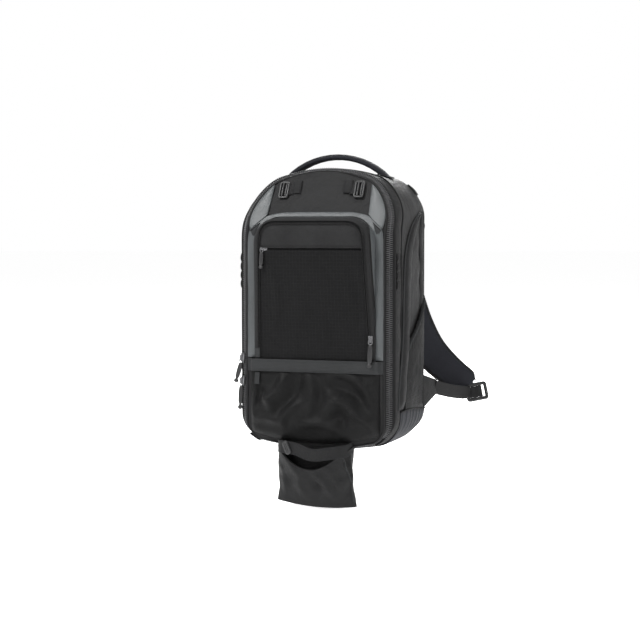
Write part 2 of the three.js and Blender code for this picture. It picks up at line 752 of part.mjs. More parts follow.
// Arched grab handle over the top: a circular arc standing on its two anchors
function handleRoute() {
  const innerEdge = HANDLE_HALF - HANDLE_THICK / 2;
  const footZ = heightOn(topRing, innerEdge, true) + ANCHOR_TOP + SEAT + HANDLE_THICK * 0.4;
  const rise = HANDLE_TOP - HANDLE_THICK / 2 - footZ;
  const radius = (HANDLE_HALF ** 2 + rise ** 2) / (2 * rise);
  const half = Math.asin(HANDLE_HALF / radius);
  const centre = new THREE.Vector3(0, HANDLE_Y, footZ + rise - radius);
  const steps = 12;
  const route = [];
  for (let k = 0; k <= steps; k += 1) {
    const angle = lerp(-half, half, k / steps);
    route.push(centre.clone().add(new THREE.Vector3(Math.sin(angle), 0, Math.cos(angle)).multiplyScalar(radius)));
  }
  return { route, normals: route.map((point) => point.clone().sub(centre).normalize()) };
}

function makeHandle() {
  const { route, normals } = handleRoute();
  return ribbon(route, route.map(() => HANDLE_WIDE), normals, HANDLE_THICK, 8);
}

// Sewn foot of the handle on the body's top
function makeHandleAnchor(side) {
  const surface = (offset) => (u, v) => {
    const x = HANDLE_HALF - 6 + ANCHOR_LONG * (u - 0.5);
    return [side * x, HANDLE_Y + HANDLE_WIDE * (v - 0.5), heightOn(topRing, x, true) + offset];
  };
  return slab(4, 1, surface(ANCHOR_TOP), surface(SEAT * 2));
}

// Padded panel against the wearer's back
function makeBackPad() {
  const section = {
    half: BODY_HALF - PAD_INSET,
    top: PANEL_TOP - 10,
    base: PANEL_BASE + 22,
    corner: PAD_CORNER,
    shoulder: PAD_SHOULDER,
  };
  const rows = outlineRows(section);
  const surface = (y) => (u, v, i, j) => {
    const row = rows[j];
    const x = lerp(-row.x, row.x, u);
    const rise = PAD_RISE * (1 - (x / section.half) ** 2) * share(row.z, LEAN_START, section.top);
    return [x, y, row.z + rise];
  };
  return slab(4, rows.length - 1, surface(BACK_Y), surface(BACK_Y - BACK_PAD));
}

// Yoke that holds both straps at the top of the back
function makeYoke() {
  return box([0, BACK_Y + SEAT + YOKE.thick / 2, PANEL_TOP - 1], [YOKE.wide, YOKE.thick, YOKE.tall]);
}

// Padded shoulder strap
const strapRoute = STRAP_ROUTE.map(({ out, back, down }) => new THREE.Vector3(
  STRAP_X + STRAP_OUT * out,
  BACK_Y + 10 + STRAP_BACK * back,
  PANEL_TOP - 12 - STRAP_DOWN * down,
));

function strapFrames(side) {
  const curve = new THREE.CatmullRomCurve3(strapRoute, false, 'centripetal');
  const steps = 18;
  const frames = [];
  for (let k = 0; k <= steps; k += 1) {
    const t = k / steps;
    const point = curve.getPoint(t);
    const turn = THREE.MathUtils.degToRad(STRAP_TURN) * THREE.MathUtils.smoothstep(t, 0.1, 0.7);
    const normal = new THREE.Vector3(Math.sin(turn), -Math.cos(turn), 0);
    const narrow = THREE.MathUtils.smoothstep(t, 0.82, 1);
    frames.push({
      point: new THREE.Vector3(side * point.x, point.y, point.z),
      normal: new THREE.Vector3(side * normal.x, normal.y, normal.z),
      width: lerp(STRAP_WIDE, STRAP_END_WIDE, narrow),
    });
  }
  return frames;
}

function makeStrap(side) {
  const frames = strapFrames(side);
  return ribbon(
    frames.map((frame) => frame.point),
    frames.map((frame) => frame.width),
    frames.map((frame) => frame.normal),
    STRAP_THICK,
    9,
  );
}

const wingTip = () => ({ x: BODY_HALF + WING_END.out, y: BACK_Y + WING_END.back });

// Triangular wing that carries the lower webbing out from the body's back edge
function makeStrapWing(side) {
  const rootX = bodySide(SHELL_BACK_Y) - WING_ROOT.inset;
  const rootY = SHELL_BACK_Y + SEAT + 0.8;
  const tip = wingTip();
  const surface = (offset) => (u, v) => {
    const x = lerp(rootX, tip.x, u);
    const y = lerp(rootY, tip.y, u);
    const low = lerp(WING_ROOT.low, WING_END.low, u);
    const high = lerp(WING_ROOT.high, WING_END.high, u);
    return [side * (x + offset), y - offset * 0.6, lerp(low, high, v)];
  };
  return slab(2, 1, surface(1.2), surface(-1.2));
}

const strapNormal = (side) => {
  const turn = THREE.MathUtils.degToRad(STRAP_TURN);
  return new THREE.Vector3(side * Math.sin(turn), -Math.cos(turn), 0);
};

// Webbing from the wing's tip to the ladder buckle's front
function makeStrapWebbing(side) {
  const reach = LOCK_THICK / 2 + 2;
  const tip = wingTip();
  const start = new THREE.Vector3(side * (tip.x + 1.4), tip.y + 2.4, (WING_END.low + WING_END.high) / 2);
  const stop = lockCentre(side).addScaledVector(strapNormal(side), reach);
  const route = [0, 0.5, 1].map((t) => start.clone().lerp(stop, t));
  const normals = route.map(() => strapNormal(side));
  return ribbon(route, route.map(() => WEBBING_WIDE), normals, 2, 1);
}

const strapEnd = () => {
  const [before, last] = strapRoute.slice(-2);
  return { last, direction: last.clone().sub(before).normalize() };
};

// The ladder buckle follows on from the strap's end
const lockCentre = (side) => {
  const { last, direction } = strapEnd();
  const centre = last.clone().addScaledVector(direction, LOCK_LONG / 2 + 1);
  return new THREE.Vector3(side * centre.x, centre.y, centre.z);
};

function makeStrapLock(side) {
  const { direction } = strapEnd();
  const along3 = new THREE.Vector3(side * direction.x, direction.y, direction.z);
  const face = strapNormal(side);
  face.addScaledVector(along3, -face.dot(along3)).normalize();
  const across = new THREE.Vector3().crossVectors(along3, face).normalize();
  const geometry = makeBuckle(LOCK_LONG, LOCK_WIDE, LOCK_THICK);
  geometry.applyMatrix4(new THREE.Matrix4().makeBasis(across, along3, face));
  const centre = lockCentre(side);
  geometry.translate(centre.x, centre.y, centre.z);
  return geometry;
}

// Leaf-shaped panel on the body's side
const sideColumns = (frontY) => [frontY, bodyY(0.36), bodyY(0.78), SIDE_REAR_Y];

function makeSidePanel(side) {
  const surface = (offset) => (u, v, i, j) => {
    const { height, back } = SIDE_FRONT[j];
    const z = lerp(SIDE_LOW, SIDE_HIGH, height);
    const y = sideColumns(bodyY(back))[i];
    return [side * (bodySide(y) + offset), y, z];
  };
  return slab(3, SIDE_FRONT.length - 1, surface(SEAT + TAPE), surface(SEAT));
}

// Bottle pocket on the side panel, open along a slanting mouth
function makeBottlePocket(side) {
  const frontY = bodyY(MOUTH_FRONT.back);
  const ys = [frontY, bodyY(0.31), bodyY(0.36), bodyY(0.52), bodyY(0.66), bodyY(0.78), SIDE_REAR_Y];
  const base = 2 * SEAT + TAPE;
  const surface = (offset) => (u, v, i) => {
    const y = ys[i];
    const across = (y - frontY) / (SIDE_REAR_Y - frontY);
    const mouth = lerp(SIDE_LOW, SIDE_HIGH, lerp(MOUTH_FRONT.height, MOUTH_REAR.height, across));
    const bulge = BOTTLE_BULGE * Math.sin(Math.PI * across) ** 0.6 * Math.min(1, v * 2.2);
    return [side * (bodySide(y) + base + bulge + offset), y, lerp(SIDE_LOW, mouth, v)];
  };
  return slab(ys.length - 1, 5, surface(CLOTH), surface(0));
}

// Webbing sewn down in four low loops behind the zip
function makeGussetWebbing(side) {
  const loops = 4;
  const surface = (offset) => (u, v, i, j) => {
    const y = lerp(bodyY(0.02), bodyY(0.095), u);
    const bump = j % 2 === 1 ? GUSSET_BUMP : 0;
    return [side * (bodySide(y) + offset + bump), y, lerp(GUSSET_LOW, GUSSET_HIGH, v)];
  };
  return slab(1, 2 * loops, surface(SEAT + TAPE), surface(SEAT));
}

// Patch that follows the body's shoulder between two of its facets
function makeTopLoop(side) {
  const depths = [0.82, 0.94];
  const surface = (grow) => (u, v, i, j) => {
    const section = bodySection(depths[j], grow);
    const { x, z } = outlineRows(section)[CELL_COUNTS.corner + CELL_COUNTS.side + 2 + i];
    const height = bent(x, z, section);
    return [side * x, leaned(bodyY(depths[j]), height), height];
  };
  return slab(2, 1, surface(SEAT * 2 + 3), surface(SEAT * 2));
}

// Small flat tab standing out from the body at the side panel's apex
function makeSideTab(side) {
  const y = SIDE_REAR_Y + 6;
  return box([side * (bodySide(y - SIDE_TAB_LONG / 2) + SEAT + SIDE_TAB_THICK / 2), y, SIDE_HIGH + 10], SIDE_TAB_SIZE);
}

// Tab that follows the zip band's bottom corner
function makeBaseTab(side) {
  const edgeY = [FRONT_Y + 3, FRONT_Y + ZIP_DEPTH - 1];
  const surface = (grow) => (u, v, i, j) => {
    const section = bevelSection(1);
    const grown = {
      half: section.half + grow,
      top: section.top,
      base: section.base - grow,
      corner: section.corner + grow,
      shoulder: section.shoulder,
      crown: section.crown,
    };
    const { x, z } = outlineRows(grown)[1 + i];
    const height = bent(x, z, grown);
    return [side * x, leaned(edgeY[j], height), height];
  };
  return slab(1, 1, surface(SEAT + 2), surface(SEAT));
}

// Cloth tab at the end of the front pocket's zip, beside the cross band
function makeZipTab({ low, high, liftLow, liftHigh }) {
  const surface = (offset) => (u, v) => {
    const x = lerp(-POCKET_HALF - ZIP_TAB_OUT, -POCKET_HALF + ZIP_TAB_IN, u);
    return onPanel(x, lerp(low, high, v), lerp(liftLow, liftHigh, v) + offset);
  };
  return slab(1, 1, surface(TAPE), surface(0));
}

// Foot pouch: a sagging cup whose mouth faces up under the bag's front edge
const pouchHalf = (v) => lerp(POUCH_TOP_HALF, POUCH_LOW_HALF, v ** 0.7);
const pouchDepth = (v) => lerp(POUCH_TOP_DEPTH, POUCH_LOW_DEPTH, v);
const zipBaseRing = outlineRing(bevelSection(1), FRONT_Y + ZIP_DEPTH);
const pouchBase = (x) => POUCH_LOW_Z + 4 - 8 * (1 - ((x - 25) / 100) ** 2);

function pouchRing(v, wall) {
  const half = pouchHalf(v) - wall;
  const back = POUCH_BACK_Y - wall;
  const depth = pouchDepth(v) - 2 * wall;
  const ring = [];
  const backTop = (x) => heightOn(zipBaseRing, x, false) - SEAT;
  const frontTop = (x) => 4 - POUCH_DROOP * (1 - (x / half) ** 2);
  const push = (x, y, top) => {
    const z = lerp(top, pouchBase(x), v);
    ring.push([x, y, v === 1 ? z + wall : z]);
  };
  for (let k = 0; k <= 4; k += 1) {
    const x = lerp(-half, half, k / 4);
    push(x, back, backTop(x));
  }
  push(half, back - depth * 0.45, lerp(backTop(half), frontTop(half), 0.5));
  for (let k = 0; k <= 6; k += 1) {
    const x = half * Math.sin((Math.PI / 2) * (1 - k / 3));
    push(x, back - depth * (1 - 0.18 * (x / half) ** 4), frontTop(x));
  }
  push(-half, back - depth * 0.45, lerp(backTop(half), frontTop(half), 0.5));
  return ring;
}

function makePouch() {
  const outer = [0, 0.25, 0.5, 0.75, 1].map((v) => pouchRing(v, 0));
  const inner = [1, 0.6, 0.3, 0].map((v) => pouchRing(v, POUCH_WALL));
  return loft([...inner, ...outer]);
}

// Band that bows out in front of the pouch's mouth from one gusset to the other
function pouchBandRoute() {
  const half = pouchHalf(0.24) + 1 + 2 * SEAT;
  const front = POUCH_BACK_Y - POUCH_TOP_DEPTH;
  return vectors([
    [-half, front + 30, -6],
    [-half, front + 12, -8],
    [-half * 0.74, front - POUCH_BAND_SWELL * 0.5, -13],
    [-half * 0.31, front - POUCH_BAND_SWELL, -17],
    [half * 0.17, front - POUCH_BAND_SWELL, -16],
    [half * 0.62, front - POUCH_BAND_SWELL * 0.6, -10],
    [half, front + 10, -5],
    [half, front + 30, -4],
  ]);
}

function pouchBandFrames() {
  const curve = new THREE.CatmullRomCurve3(pouchBandRoute(), false, 'centripetal');
  const steps = 18;
  const frames = [];
  for (let k = 0; k <= steps; k += 1) {
    const tangent = curve.getTangent(k / steps);
    const normal = new THREE.Vector3(tangent.y, -tangent.x, 0).normalize();
    frames.push({ point: curve.getPoint(k / steps), normal });
  }
  return frames;
}

function makePouchBand() {
  const frames = pouchBandFrames();
  const widths = frames.map(() => POUCH_BAND_WIDE);
  return ribbon(frames.map(({ point }) => point), widths, frames.map(({ normal }) => normal), POUCH_BAND_THICK, 1);
}

// Adjuster on the band's left end, on its outer face
function makePouchBuckle() {
  const frames = pouchBandFrames().slice(2, 5);
  const lift = POUCH_BAND_THICK / 2 + SEAT + POUCH_BUCKLE_THICK / 2 + 0.2;
  const route = frames.map(({ point, normal }) => point.clone().addScaledVector(normal, lift));
  const widths = frames.map(() => POUCH_BAND_WIDE + 3);
  return ribbon(route, widths, frames.map(({ normal }) => normal), POUCH_BUCKLE_THICK, 2);
}

// Point in front of the main zip's coil on its left side
function onCoil(lift, z) {
  const x = -(PANEL_HALF + BEVEL_SIDE / 2) - lift * Math.SQRT1_2;
  const y = FRONT_Y + ZIP_DEPTH / 2 - lift * Math.SQRT1_2;
  return [x, y, z];
}

// Slider body on the main zip's coil, turned to the bevel
function makeMainSlider(z) {
  const geometry = new THREE.BoxGeometry(SLIDER_WIDE, SLIDER_THICK, SLIDER_LONG);
  geometry.rotateZ(-Math.PI / 4);
  geometry.translate(...onCoil(COIL_RISE + SEAT + SLIDER_THICK / 2, z));
  return geometry;
}

// Pull that hangs from a point by the slider, leaning by a shift at its lower end
const PULL_NECK = PULL_THICK * 0.55;
const hungPull = (top, shift) => makePull(top, top.map((value, k) => value + shift[k]), PULL_THICK);
const mainPullTop = (z) => onCoil(COIL_RISE + 2 * SEAT + SLIDER_THICK + PULL_NECK / 2, z);

// Sliders on the front pocket's face zip and its arched zip
const pocketSliderY = FRONT_Y - pocketZipFace(-POCKET_SLIDER_X) - TAPE - 2 * SEAT;
const archSliderY = FRONT_Y - pocketRise(ARCH_SLIDER_Z + SLIDER_LONG / 2, 1) - SEAT;
const sliderCentreY = (backY) => backY - SLIDER_THICK / 2;
const pullTopY = (backY) => backY - SLIDER_THICK - SEAT - PULL_NECK / 2;

// Moulded pull: a slim tapered bar with a ball at its end
function makePull(top, low, thick) {
  const route = [0, 0.15, 0.7, 0.86, 1].map((t) => new THREE.Vector3(...top).lerp(new THREE.Vector3(...low), t));
  const widths = [0.55, 0.6, 0.7, 1.2, 0.7].map((scale) => thick * scale);
  const rings = route.map((point, k) => {
    const ring = [];
    for (let side = 0; side < 8; side += 1) {
      const angle = (Math.PI / 4) * side;
      ring.push([
        point.x + (widths[k] / 2) * Math.cos(angle),
        point.y + (widths[k] / 2) * Math.sin(angle),
        point.z,
      ]);
    }
    return ring;
  });
  return loft(rings);
}

const group = new THREE.Group();

function add(name, geometry, colour, roughness = 0.85, metalness = 0) {
  const material = new THREE.MeshStandardMaterial({ color: colour, roughness, metalness });
  const mesh = new THREE.Mesh(geometry, material);
  mesh.name = name;
  group.add(mesh);
  return mesh;
}

add('body_shell', makeShell(), COLOURS.body);
add('front_lid', makeLid(), COLOURS.body);
add('main_zip', makeZipBand(), COLOURS.plastic);
add('boot_panel', makeBoot(), COLOURS.boot);
add('back_pad', makeBackPad(), COLOURS.strap);
add('strap_yoke', makeYoke(), COLOURS.strap);
add('arch_frame', makeArchFrame(), COLOURS.coated, 0.6);
add('front_pocket', makeFrontPocket(), COLOURS.ripstop);
add('lower_pocket', makeLowerPocket(), COLOURS.body);
add('cross_band', makeCrossBand(), COLOURS.band);
add('pocket_zip', makePocketZip(), COLOURS.plastic);
add('grab_handle', makeHandle(), COLOURS.strap);

for (const [name, side] of [['left', -1], ['right', 1]]) {
  add(`wing_${name}`, makeWing(side), COLOURS.coated, 0.6);
  add(`accessory_tab_${name}`, makeLidPatch(side * TAB_X, TAB_WIDE, ACCESSORY_LOW, ACCESSORY_HIGH, TAPE), COLOURS.webbing);
  add(`accessory_buckle_${name}`, makeLidPatch(side * BUCKLE_X, BUCKLE_WIDE, ACCESSORY_LOW, ACCESSORY_HIGH, ACCESSORY_THICK), COLOURS.plastic, 0.45);
  add(`handle_anchor_${name}`, makeHandleAnchor(side), COLOURS.webbing);
  add(`shoulder_strap_${name}`, makeStrap(side), COLOURS.strap);
  add(`strap_wing_${name}`, makeStrapWing(side), COLOURS.body);
  add(`strap_webbing_${name}`, makeStrapWebbing(side), COLOURS.webbing);
  add(`strap_buckle_${name}`, makeStrapLock(side), COLOURS.plastic, 0.45);
  add(`side_panel_${name}`, makeSidePanel(side), COLOURS.body);
  add(`bottle_pocket_${name}`, makeBottlePocket(side), COLOURS.ripstop);
  add(`gusset_webbing_${name}`, makeGussetWebbing(side), COLOURS.webbing);
  add(`top_loop_${name}`, makeTopLoop(side), COLOURS.webbing);
  add(`side_tab_${name}`, makeSideTab(side), COLOURS.webbing);
  add(`base_tab_${name}`, makeBaseTab(side), COLOURS.webbing);
}

add('zip_tab_upper', makeZipTab(UPPER_TAB), COLOURS.webbing);
add('zip_tab_lower', makeZipTab(LOWER_TAB), COLOURS.webbing);
add('foot_pouch', makePouch(), COLOURS.body);
add('pouch_band', makePouchBand(), COLOURS.webbing);
add('pouch_buckle', makePouchBuckle(), COLOURS.plastic, 0.45);
add('main_slider_upper', makeMainSlider(UPPER_SLIDER_Z), COLOURS.metal, 0.35, 1);
add('main_slider_lower', makeMainSlider(LOWER_SLIDER_Z), COLOURS.metal, 0.35, 1);
add('main_pull_upper', hungPull(mainPullTop(UPPER_SLIDER_Z - PULL_DROP), UPPER_PULL_HANG), COLOURS.plastic);
add('main_pull_lower', hungPull(mainPullTop(LOWER_SLIDER_Z - PULL_DROP), LOWER_PULL_HANG), COLOURS.plastic);

const pocketSlider = [-POCKET_SLIDER_X, sliderCentreY(pocketSliderY), POCKET_ZIP_Z];
add('pocket_slider', box(pocketSlider, [SLIDER_LONG, SLIDER_THICK, SLIDER_WIDE]), COLOURS.metal, 0.35, 1);
const pocketPull = [-POCKET_SLIDER_X - 2, pullTopY(pocketSliderY), POCKET_ZIP_Z - 1];
add('pocket_pull', hungPull(pocketPull, POCKET_PULL_HANG), COLOURS.plastic);

const archSlider = [ARCH_SLIDER_X, sliderCentreY(archSliderY), ARCH_SLIDER_Z];
add('arch_slider', box(archSlider, [SLIDER_WIDE, SLIDER_THICK, SLIDER_LONG]), COLOURS.metal, 0.35, 1);
const archPull = [ARCH_SLIDER_X - 1, pullTopY(archSliderY), ARCH_SLIDER_Z - 3];
add('arch_pull', hungPull(archPull, ARCH_PULL_HANG), COLOURS.plastic);

// The origin lies under the middle of the grab handle, where a hook or a hand carries the bag
group.position.set(0, -HANDLE_Y, -(HANDLE_TOP - HANDLE_THICK));

export default group;
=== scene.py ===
"""Camera backpack: the looks of its cloth, webbing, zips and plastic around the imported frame.

Laid out as a Blender add-on and run as a script. Shapes are worked out in bag coordinates,
in millimetres (X to the viewer's right, Y to the wearer's back, Z up, base near z = 0),
and to_row moves them to the frame's metres.
"""
import math
import bmesh
import bpy
import numpy as np
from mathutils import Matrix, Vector


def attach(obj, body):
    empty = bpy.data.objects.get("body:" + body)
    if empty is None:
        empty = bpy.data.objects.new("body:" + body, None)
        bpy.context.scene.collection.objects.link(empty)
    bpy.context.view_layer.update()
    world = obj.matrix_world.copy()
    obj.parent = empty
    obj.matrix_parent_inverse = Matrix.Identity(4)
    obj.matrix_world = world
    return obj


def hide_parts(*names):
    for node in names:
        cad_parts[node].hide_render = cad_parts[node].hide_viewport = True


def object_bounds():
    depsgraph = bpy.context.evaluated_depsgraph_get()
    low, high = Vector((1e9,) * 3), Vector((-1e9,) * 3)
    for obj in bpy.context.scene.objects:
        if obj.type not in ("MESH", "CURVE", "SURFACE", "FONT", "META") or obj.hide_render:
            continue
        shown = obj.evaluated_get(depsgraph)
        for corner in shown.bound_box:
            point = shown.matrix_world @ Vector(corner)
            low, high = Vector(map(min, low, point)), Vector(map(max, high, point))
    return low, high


bl_info = {
    "name": "Camera Backpack",
    "version": (1, 0, 0),
    "blender": (4, 5, 0),
    "location": "3D View > Sidebar > Backpack",
    "description": "Builds a camera backpack around its packed frame",
    "category": "Object",
}

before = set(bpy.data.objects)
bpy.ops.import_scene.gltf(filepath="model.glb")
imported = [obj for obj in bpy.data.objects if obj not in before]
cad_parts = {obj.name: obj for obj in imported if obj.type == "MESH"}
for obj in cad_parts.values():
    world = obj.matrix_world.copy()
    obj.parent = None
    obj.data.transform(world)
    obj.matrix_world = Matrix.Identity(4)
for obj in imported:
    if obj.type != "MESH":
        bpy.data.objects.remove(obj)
CAD_BOX = [[float(value) for value in corner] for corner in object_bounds()]

# Place of the frame's origin in bag coordinates
HANG_POINT = np.array([0.0, 25.0, 514.5])

# Panel, body and walls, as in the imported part
PANEL_HALF, PANEL_TOP, PANEL_BASE = 127.0, 450.0, 22.0
PANEL_CORNER, PANEL_SHOULDER = 24.0, 45.0
CROWN, SAG = 40.0, 18.0
FRONT_Y = -95.0
LEAN_START, LEAN_SLOPE = 385.0, 0.53
FOOT_START, FOOT_SLOPE = 37.0, 0.3
SHELL_FRONT_Y, SHELL_BACK_Y = -80.0, 88.2
ZIP_DEPTH = 14.6
BEVEL_SIDE, BEVEL_TOP, BEVEL_BASE = 16.0, 4.5, 1.5
SEAT = 0.3

# Body sections from the zip's edge to the back: depth share, half width, top, base,
# crown, corner radius and shoulder radius
BODY_SECTIONS = np.array([
    [0.00, 143.2, 455.0, 22.0, 40.0, 37.8, 59.0],
    [0.10, 146.1, 460.0, 17.0, 35.2, 39.6, 56.6],
    [0.36, 149.0, 460.0, 17.0, 34.0, 42.2, 51.9],
    [0.78, 149.0, 460.0, 17.0, 34.0, 44.0, 46.0],
    [0.95, 146.6, 457.0, 20.0, 34.0, 42.2, 44.8],
    [1.00, 142.4, 450.4, 26.6, 34.0, 39.6, 42.5],
])

# Front pocket and lower pocket: height share, rise share and fullness share
POCKET_HALF, POCKET_TOP, POCKET_LOW, POCKET_CORNER = 112.0, 409.0, 148.3, 46.0
POCKET_DEPTH, POCKET_GUSSET, POCKET_FULL = 23.0, 13.0, 5.0
POCKET_ROWS = np.array([
    [0.0, 0.14, 0.0], [0.16, 0.22, 0.4], [0.4, 0.5, 0.8], [0.62, 0.78, 1.0],
    [0.785, 0.96, 0.9], [0.87, 1.0, 1.0], [0.94, 1.0, 0.8], [1.0, 1.0, 0.2],
])
LOWER_HALF, LOWER_TOP, LOWER_DEPTH, LOWER_LEAST = 120.0, 147.7, 17.0, 2.2
LOWER_ROWS = np.array([
    [0.0, 0.35, 0.0], [0.12, 0.6, 0.2], [0.25, 0.8, 0.5], [0.5, 0.75, 1.0],
    [0.8, 0.35, 0.6], [1.0, 0.19, 0.0],
])
BAND_LOW, BAND_HIGH, BAND_LIFT, BAND_HALF = 137.0, 159.0, 7.2, 126.0
POCKET_ZIP_Z = 354.0

# Broad folds in bag coordinates: start x and z, end x and z, half width, height
LOWER_FOLDS = np.array([
    [22, 138, 108, 104, 8, 7.0], [30, 118, 100, 78, 10, -11.0], [30, 98, 90, 56, 10, 10.0],
    [74, 70, 120, 32, 9, 8.0], [34, 66, 64, 46, 11, -9.0], [104, 112, 117, 64, 6, -7.0],
    [-52, 134, -92, 82, 11, 9.0], [-92, 98, -78, 60, 10, 7.0], [-108, 52, -54, 44, 9, 7.0],
    [-60, 46, -22, 84, 9, 7.0], [-26, 136, -66, 68, 10, -9.0], [-100, 118, -113, 68, 8, -7.0],
    [-10, 136, -4, 68, 12, 6.0], [10, 120, -4, 48, 9, -6.0], [-24, 44, 60, 28, 9, 6.0],
])
POCKET_FOLDS = np.array([
    [-78, 330, -84, 190, 8, 1.6], [62, 340, 74, 180, 9, -1.5], [-30, 300, -48, 170, 14, 1.2],
    [20, 250, 34, 160, 12, -1.2], [-90, 400, -60, 372, 8, 1.2], [92, 396, 66, 372, 8, 1.2],
])

# Camera in bag coordinates: where it stands, where it looks, and its lens
CAMERA_AT = (946.05, -2667.98, 381.0)
CAMERA_TO = (-22.09, -8.04, 224.0)
CAMERA_LENS = 88.2
SENSOR = 36.0

# One wave in radians
WAVE = 6.283

# Share of the white surround's brightness that falls on the bag
SKY_LIGHT = 0.43


def to_row(points):
    """Bag millimetres to the frame's metres."""
    return (np.asarray(points, float) - HANG_POINT) / 1000.0


def blend01(value, low, high):
    """Smooth step: 3t^2 - 2t^3 of the clamped share t between low and high."""
    t = np.clip((value - low) / (high - low), 0.0, 1.0)
    return t * t * (3.0 - 2.0 * t)


def xyz(x, y, z):
    """Points from three arrays of one shape."""
    return np.stack([x, y, z], axis=-1)


def u_steps(count):
    """Shares 0 to 1 along a grid's rows."""
    return np.linspace(0, 1, count)[None, :]


def v_steps(count):
    """Shares 0 to 1 down a grid's columns."""
    return np.linspace(0, 1, count)[:, None]


def hump(share):
    """Half a sine wave: 0 at shares 0 and 1, and 1 in the middle."""
    return np.sin(math.pi * share)


def bell(off, width):
    """Bell curve exp(-(off / width)^2)."""
    return np.exp(-((off / width) ** 2))


def column(table, at, index):
    """A table's column at a height or depth share, on straight lines between its rows."""
    return np.interp(at, table[:, 0], table[:, index])


def soft_over(value, width):
    """A ramp that is 0 below zero and rises with slope 1 above, rounded over the width."""
    t = np.clip(value / width, -30.0, 30.0)
    return width * np.log1p(np.exp(t))


def lean(z):
    """How far the front stands back at a height: two ramps with rounded starts."""
    upper = LEAN_SLOPE * (soft_over(z - LEAN_START, 5.0))
    lower = FOOT_SLOPE * (soft_over(FOOT_START - z, 3.0))
    return upper + lower


def leaned(y, z):
    """Depth of a point after the lean, which fades out towards the back."""
    return y + lean(z) * (SHELL_BACK_Y - y) / (SHELL_BACK_Y - FRONT_Y)


def bent(x, z, half, top, base, crown):
    """Height after the top edge's parabola-shaped crown and the base's sag."""
    across = np.clip(1.0 - (x / half) ** 2, 0.0, 1.0)
    rise = np.clip((z - LEAN_START) / (top - LEAN_START), 0.0, None)
    drop = np.clip((FOOT_START - z) / (FOOT_START - base), 0.0, None)
    return z + crown * across * rise - SAG * across * drop


# Cells along an outline: half the base, corner, side, shoulder and half the top
OUTLINE_CELLS = (18, 10, 66, 16, 20)


def outline(half, top, base, corner, shoulder, crown):
    """Closed outline as arrays x and z, anticlockwise from the middle of the base: straight
    base, quarter circle, straight side, quarter circle and straight top, then mirrored.
    Each size may be an array of rows, one outline a row."""
    sizes = (half, top, base, corner, shoulder, crown)
    half, top, base, corner, shoulder, crown = np.broadcast_arrays(
        *(np.atleast_1d(np.asarray(size, float))[:, None] for size in sizes))
    flat, turn, side, bow, cap = (np.arange(n)[None, :] / n for n in OUTLINE_CELLS)
    a, b = turn * math.pi / 2.0, bow * math.pi / 2.0
    x = np.concatenate([
        flat * (half - corner), half - corner + corner * np.sin(a), half + 0.0 * side,
        half - shoulder + shoulder * np.cos(b), (half - shoulder) * (1.0 - cap),
        0.0 * half[:, :1]], axis=1)
    z = np.concatenate([
        base + 0.0 * flat, base + corner - corner * np.cos(a),
        base + corner + side * (top - shoulder - base - corner),
        top - shoulder + shoulder * np.sin(b), top + 0.0 * cap, top[:, :1]], axis=1)
    z = bent(x, z, half[:, :1], top[:, :1], base[:, :1], crown[:, :1])
    x = np.concatenate([x, -x[:, -2:0:-1]], axis=1)
    z = np.concatenate([z, z[:, -2:0:-1]], axis=1)
    return x, z


def body_outline(depth, grow=0.0):
    """Outline of the body at depth shares, grown by an offset."""
    depth = np.atleast_1d(depth)
    half, top, base, crown, corner, shoulder = (column(BODY_SECTIONS, depth, k) for k in range(1, 7))
    return outline(half + grow, top + grow, base - grow, corner + grow, shoulder + grow, crown)


def bevel_outline(outset):
    """Outline on the zip's bevel, at shares of the way from the panel to the body."""
    o = np.atleast_1d(outset)
    return outline(PANEL_HALF + BEVEL_SIDE * o, PANEL_TOP + BEVEL_TOP * o, PANEL_BASE - BEVEL_BASE * o,
                   PANEL_CORNER + BEVEL_SIDE * o, PANEL_SHOULDER + BEVEL_SIDE * o, CROWN + 0.0 * o)


def body_y(depth):
    """Depth share to y."""
    return SHELL_FRONT_Y + (SHELL_BACK_Y - SHELL_FRONT_Y) * depth


def ripple(x, z, seed, wave, amount):
    """Sum of six sine waves of random direction and phase: a quiet irregular relief."""
    rng = np.random.default_rng(seed)
    total = np.zeros(np.broadcast(x, z).shape)
    draws = rng.uniform(0, math.pi, 6), rng.uniform(0, 6.28, 6), rng.uniform(0.6, 1.7, 6)
    for turn, phase, scale in zip(*draws):
        total = total + np.sin((x * math.cos(turn) + z * math.sin(turn)) * WAVE * scale / wave + phase)
    return amount * total / 3.0


def folds(x, z, table):
    """Relief of folds: each a bell curve across its line, fading at the line's two ends."""
    total = np.zeros(np.broadcast(x, z).shape)
    for x0, z0, x1, z1, width, height in table:
        long = math.hypot(x1 - x0, z1 - z0)
        ux, uz = (x1 - x0) / long, (z1 - z0) / long
        s = ((x - x0) * ux + (z - z0) * uz) / long
        off = (x - x0) * -uz + (z - z0) * ux
        off = off - 0.12 * long * np.sin(np.clip(s, 0, 1) * math.pi)
        fade = blend01(s, -0.15, 0.25) * (1.0 - blend01(s, 0.6, 1.15))
        total = total + height * fade * bell(off, width)
    return total


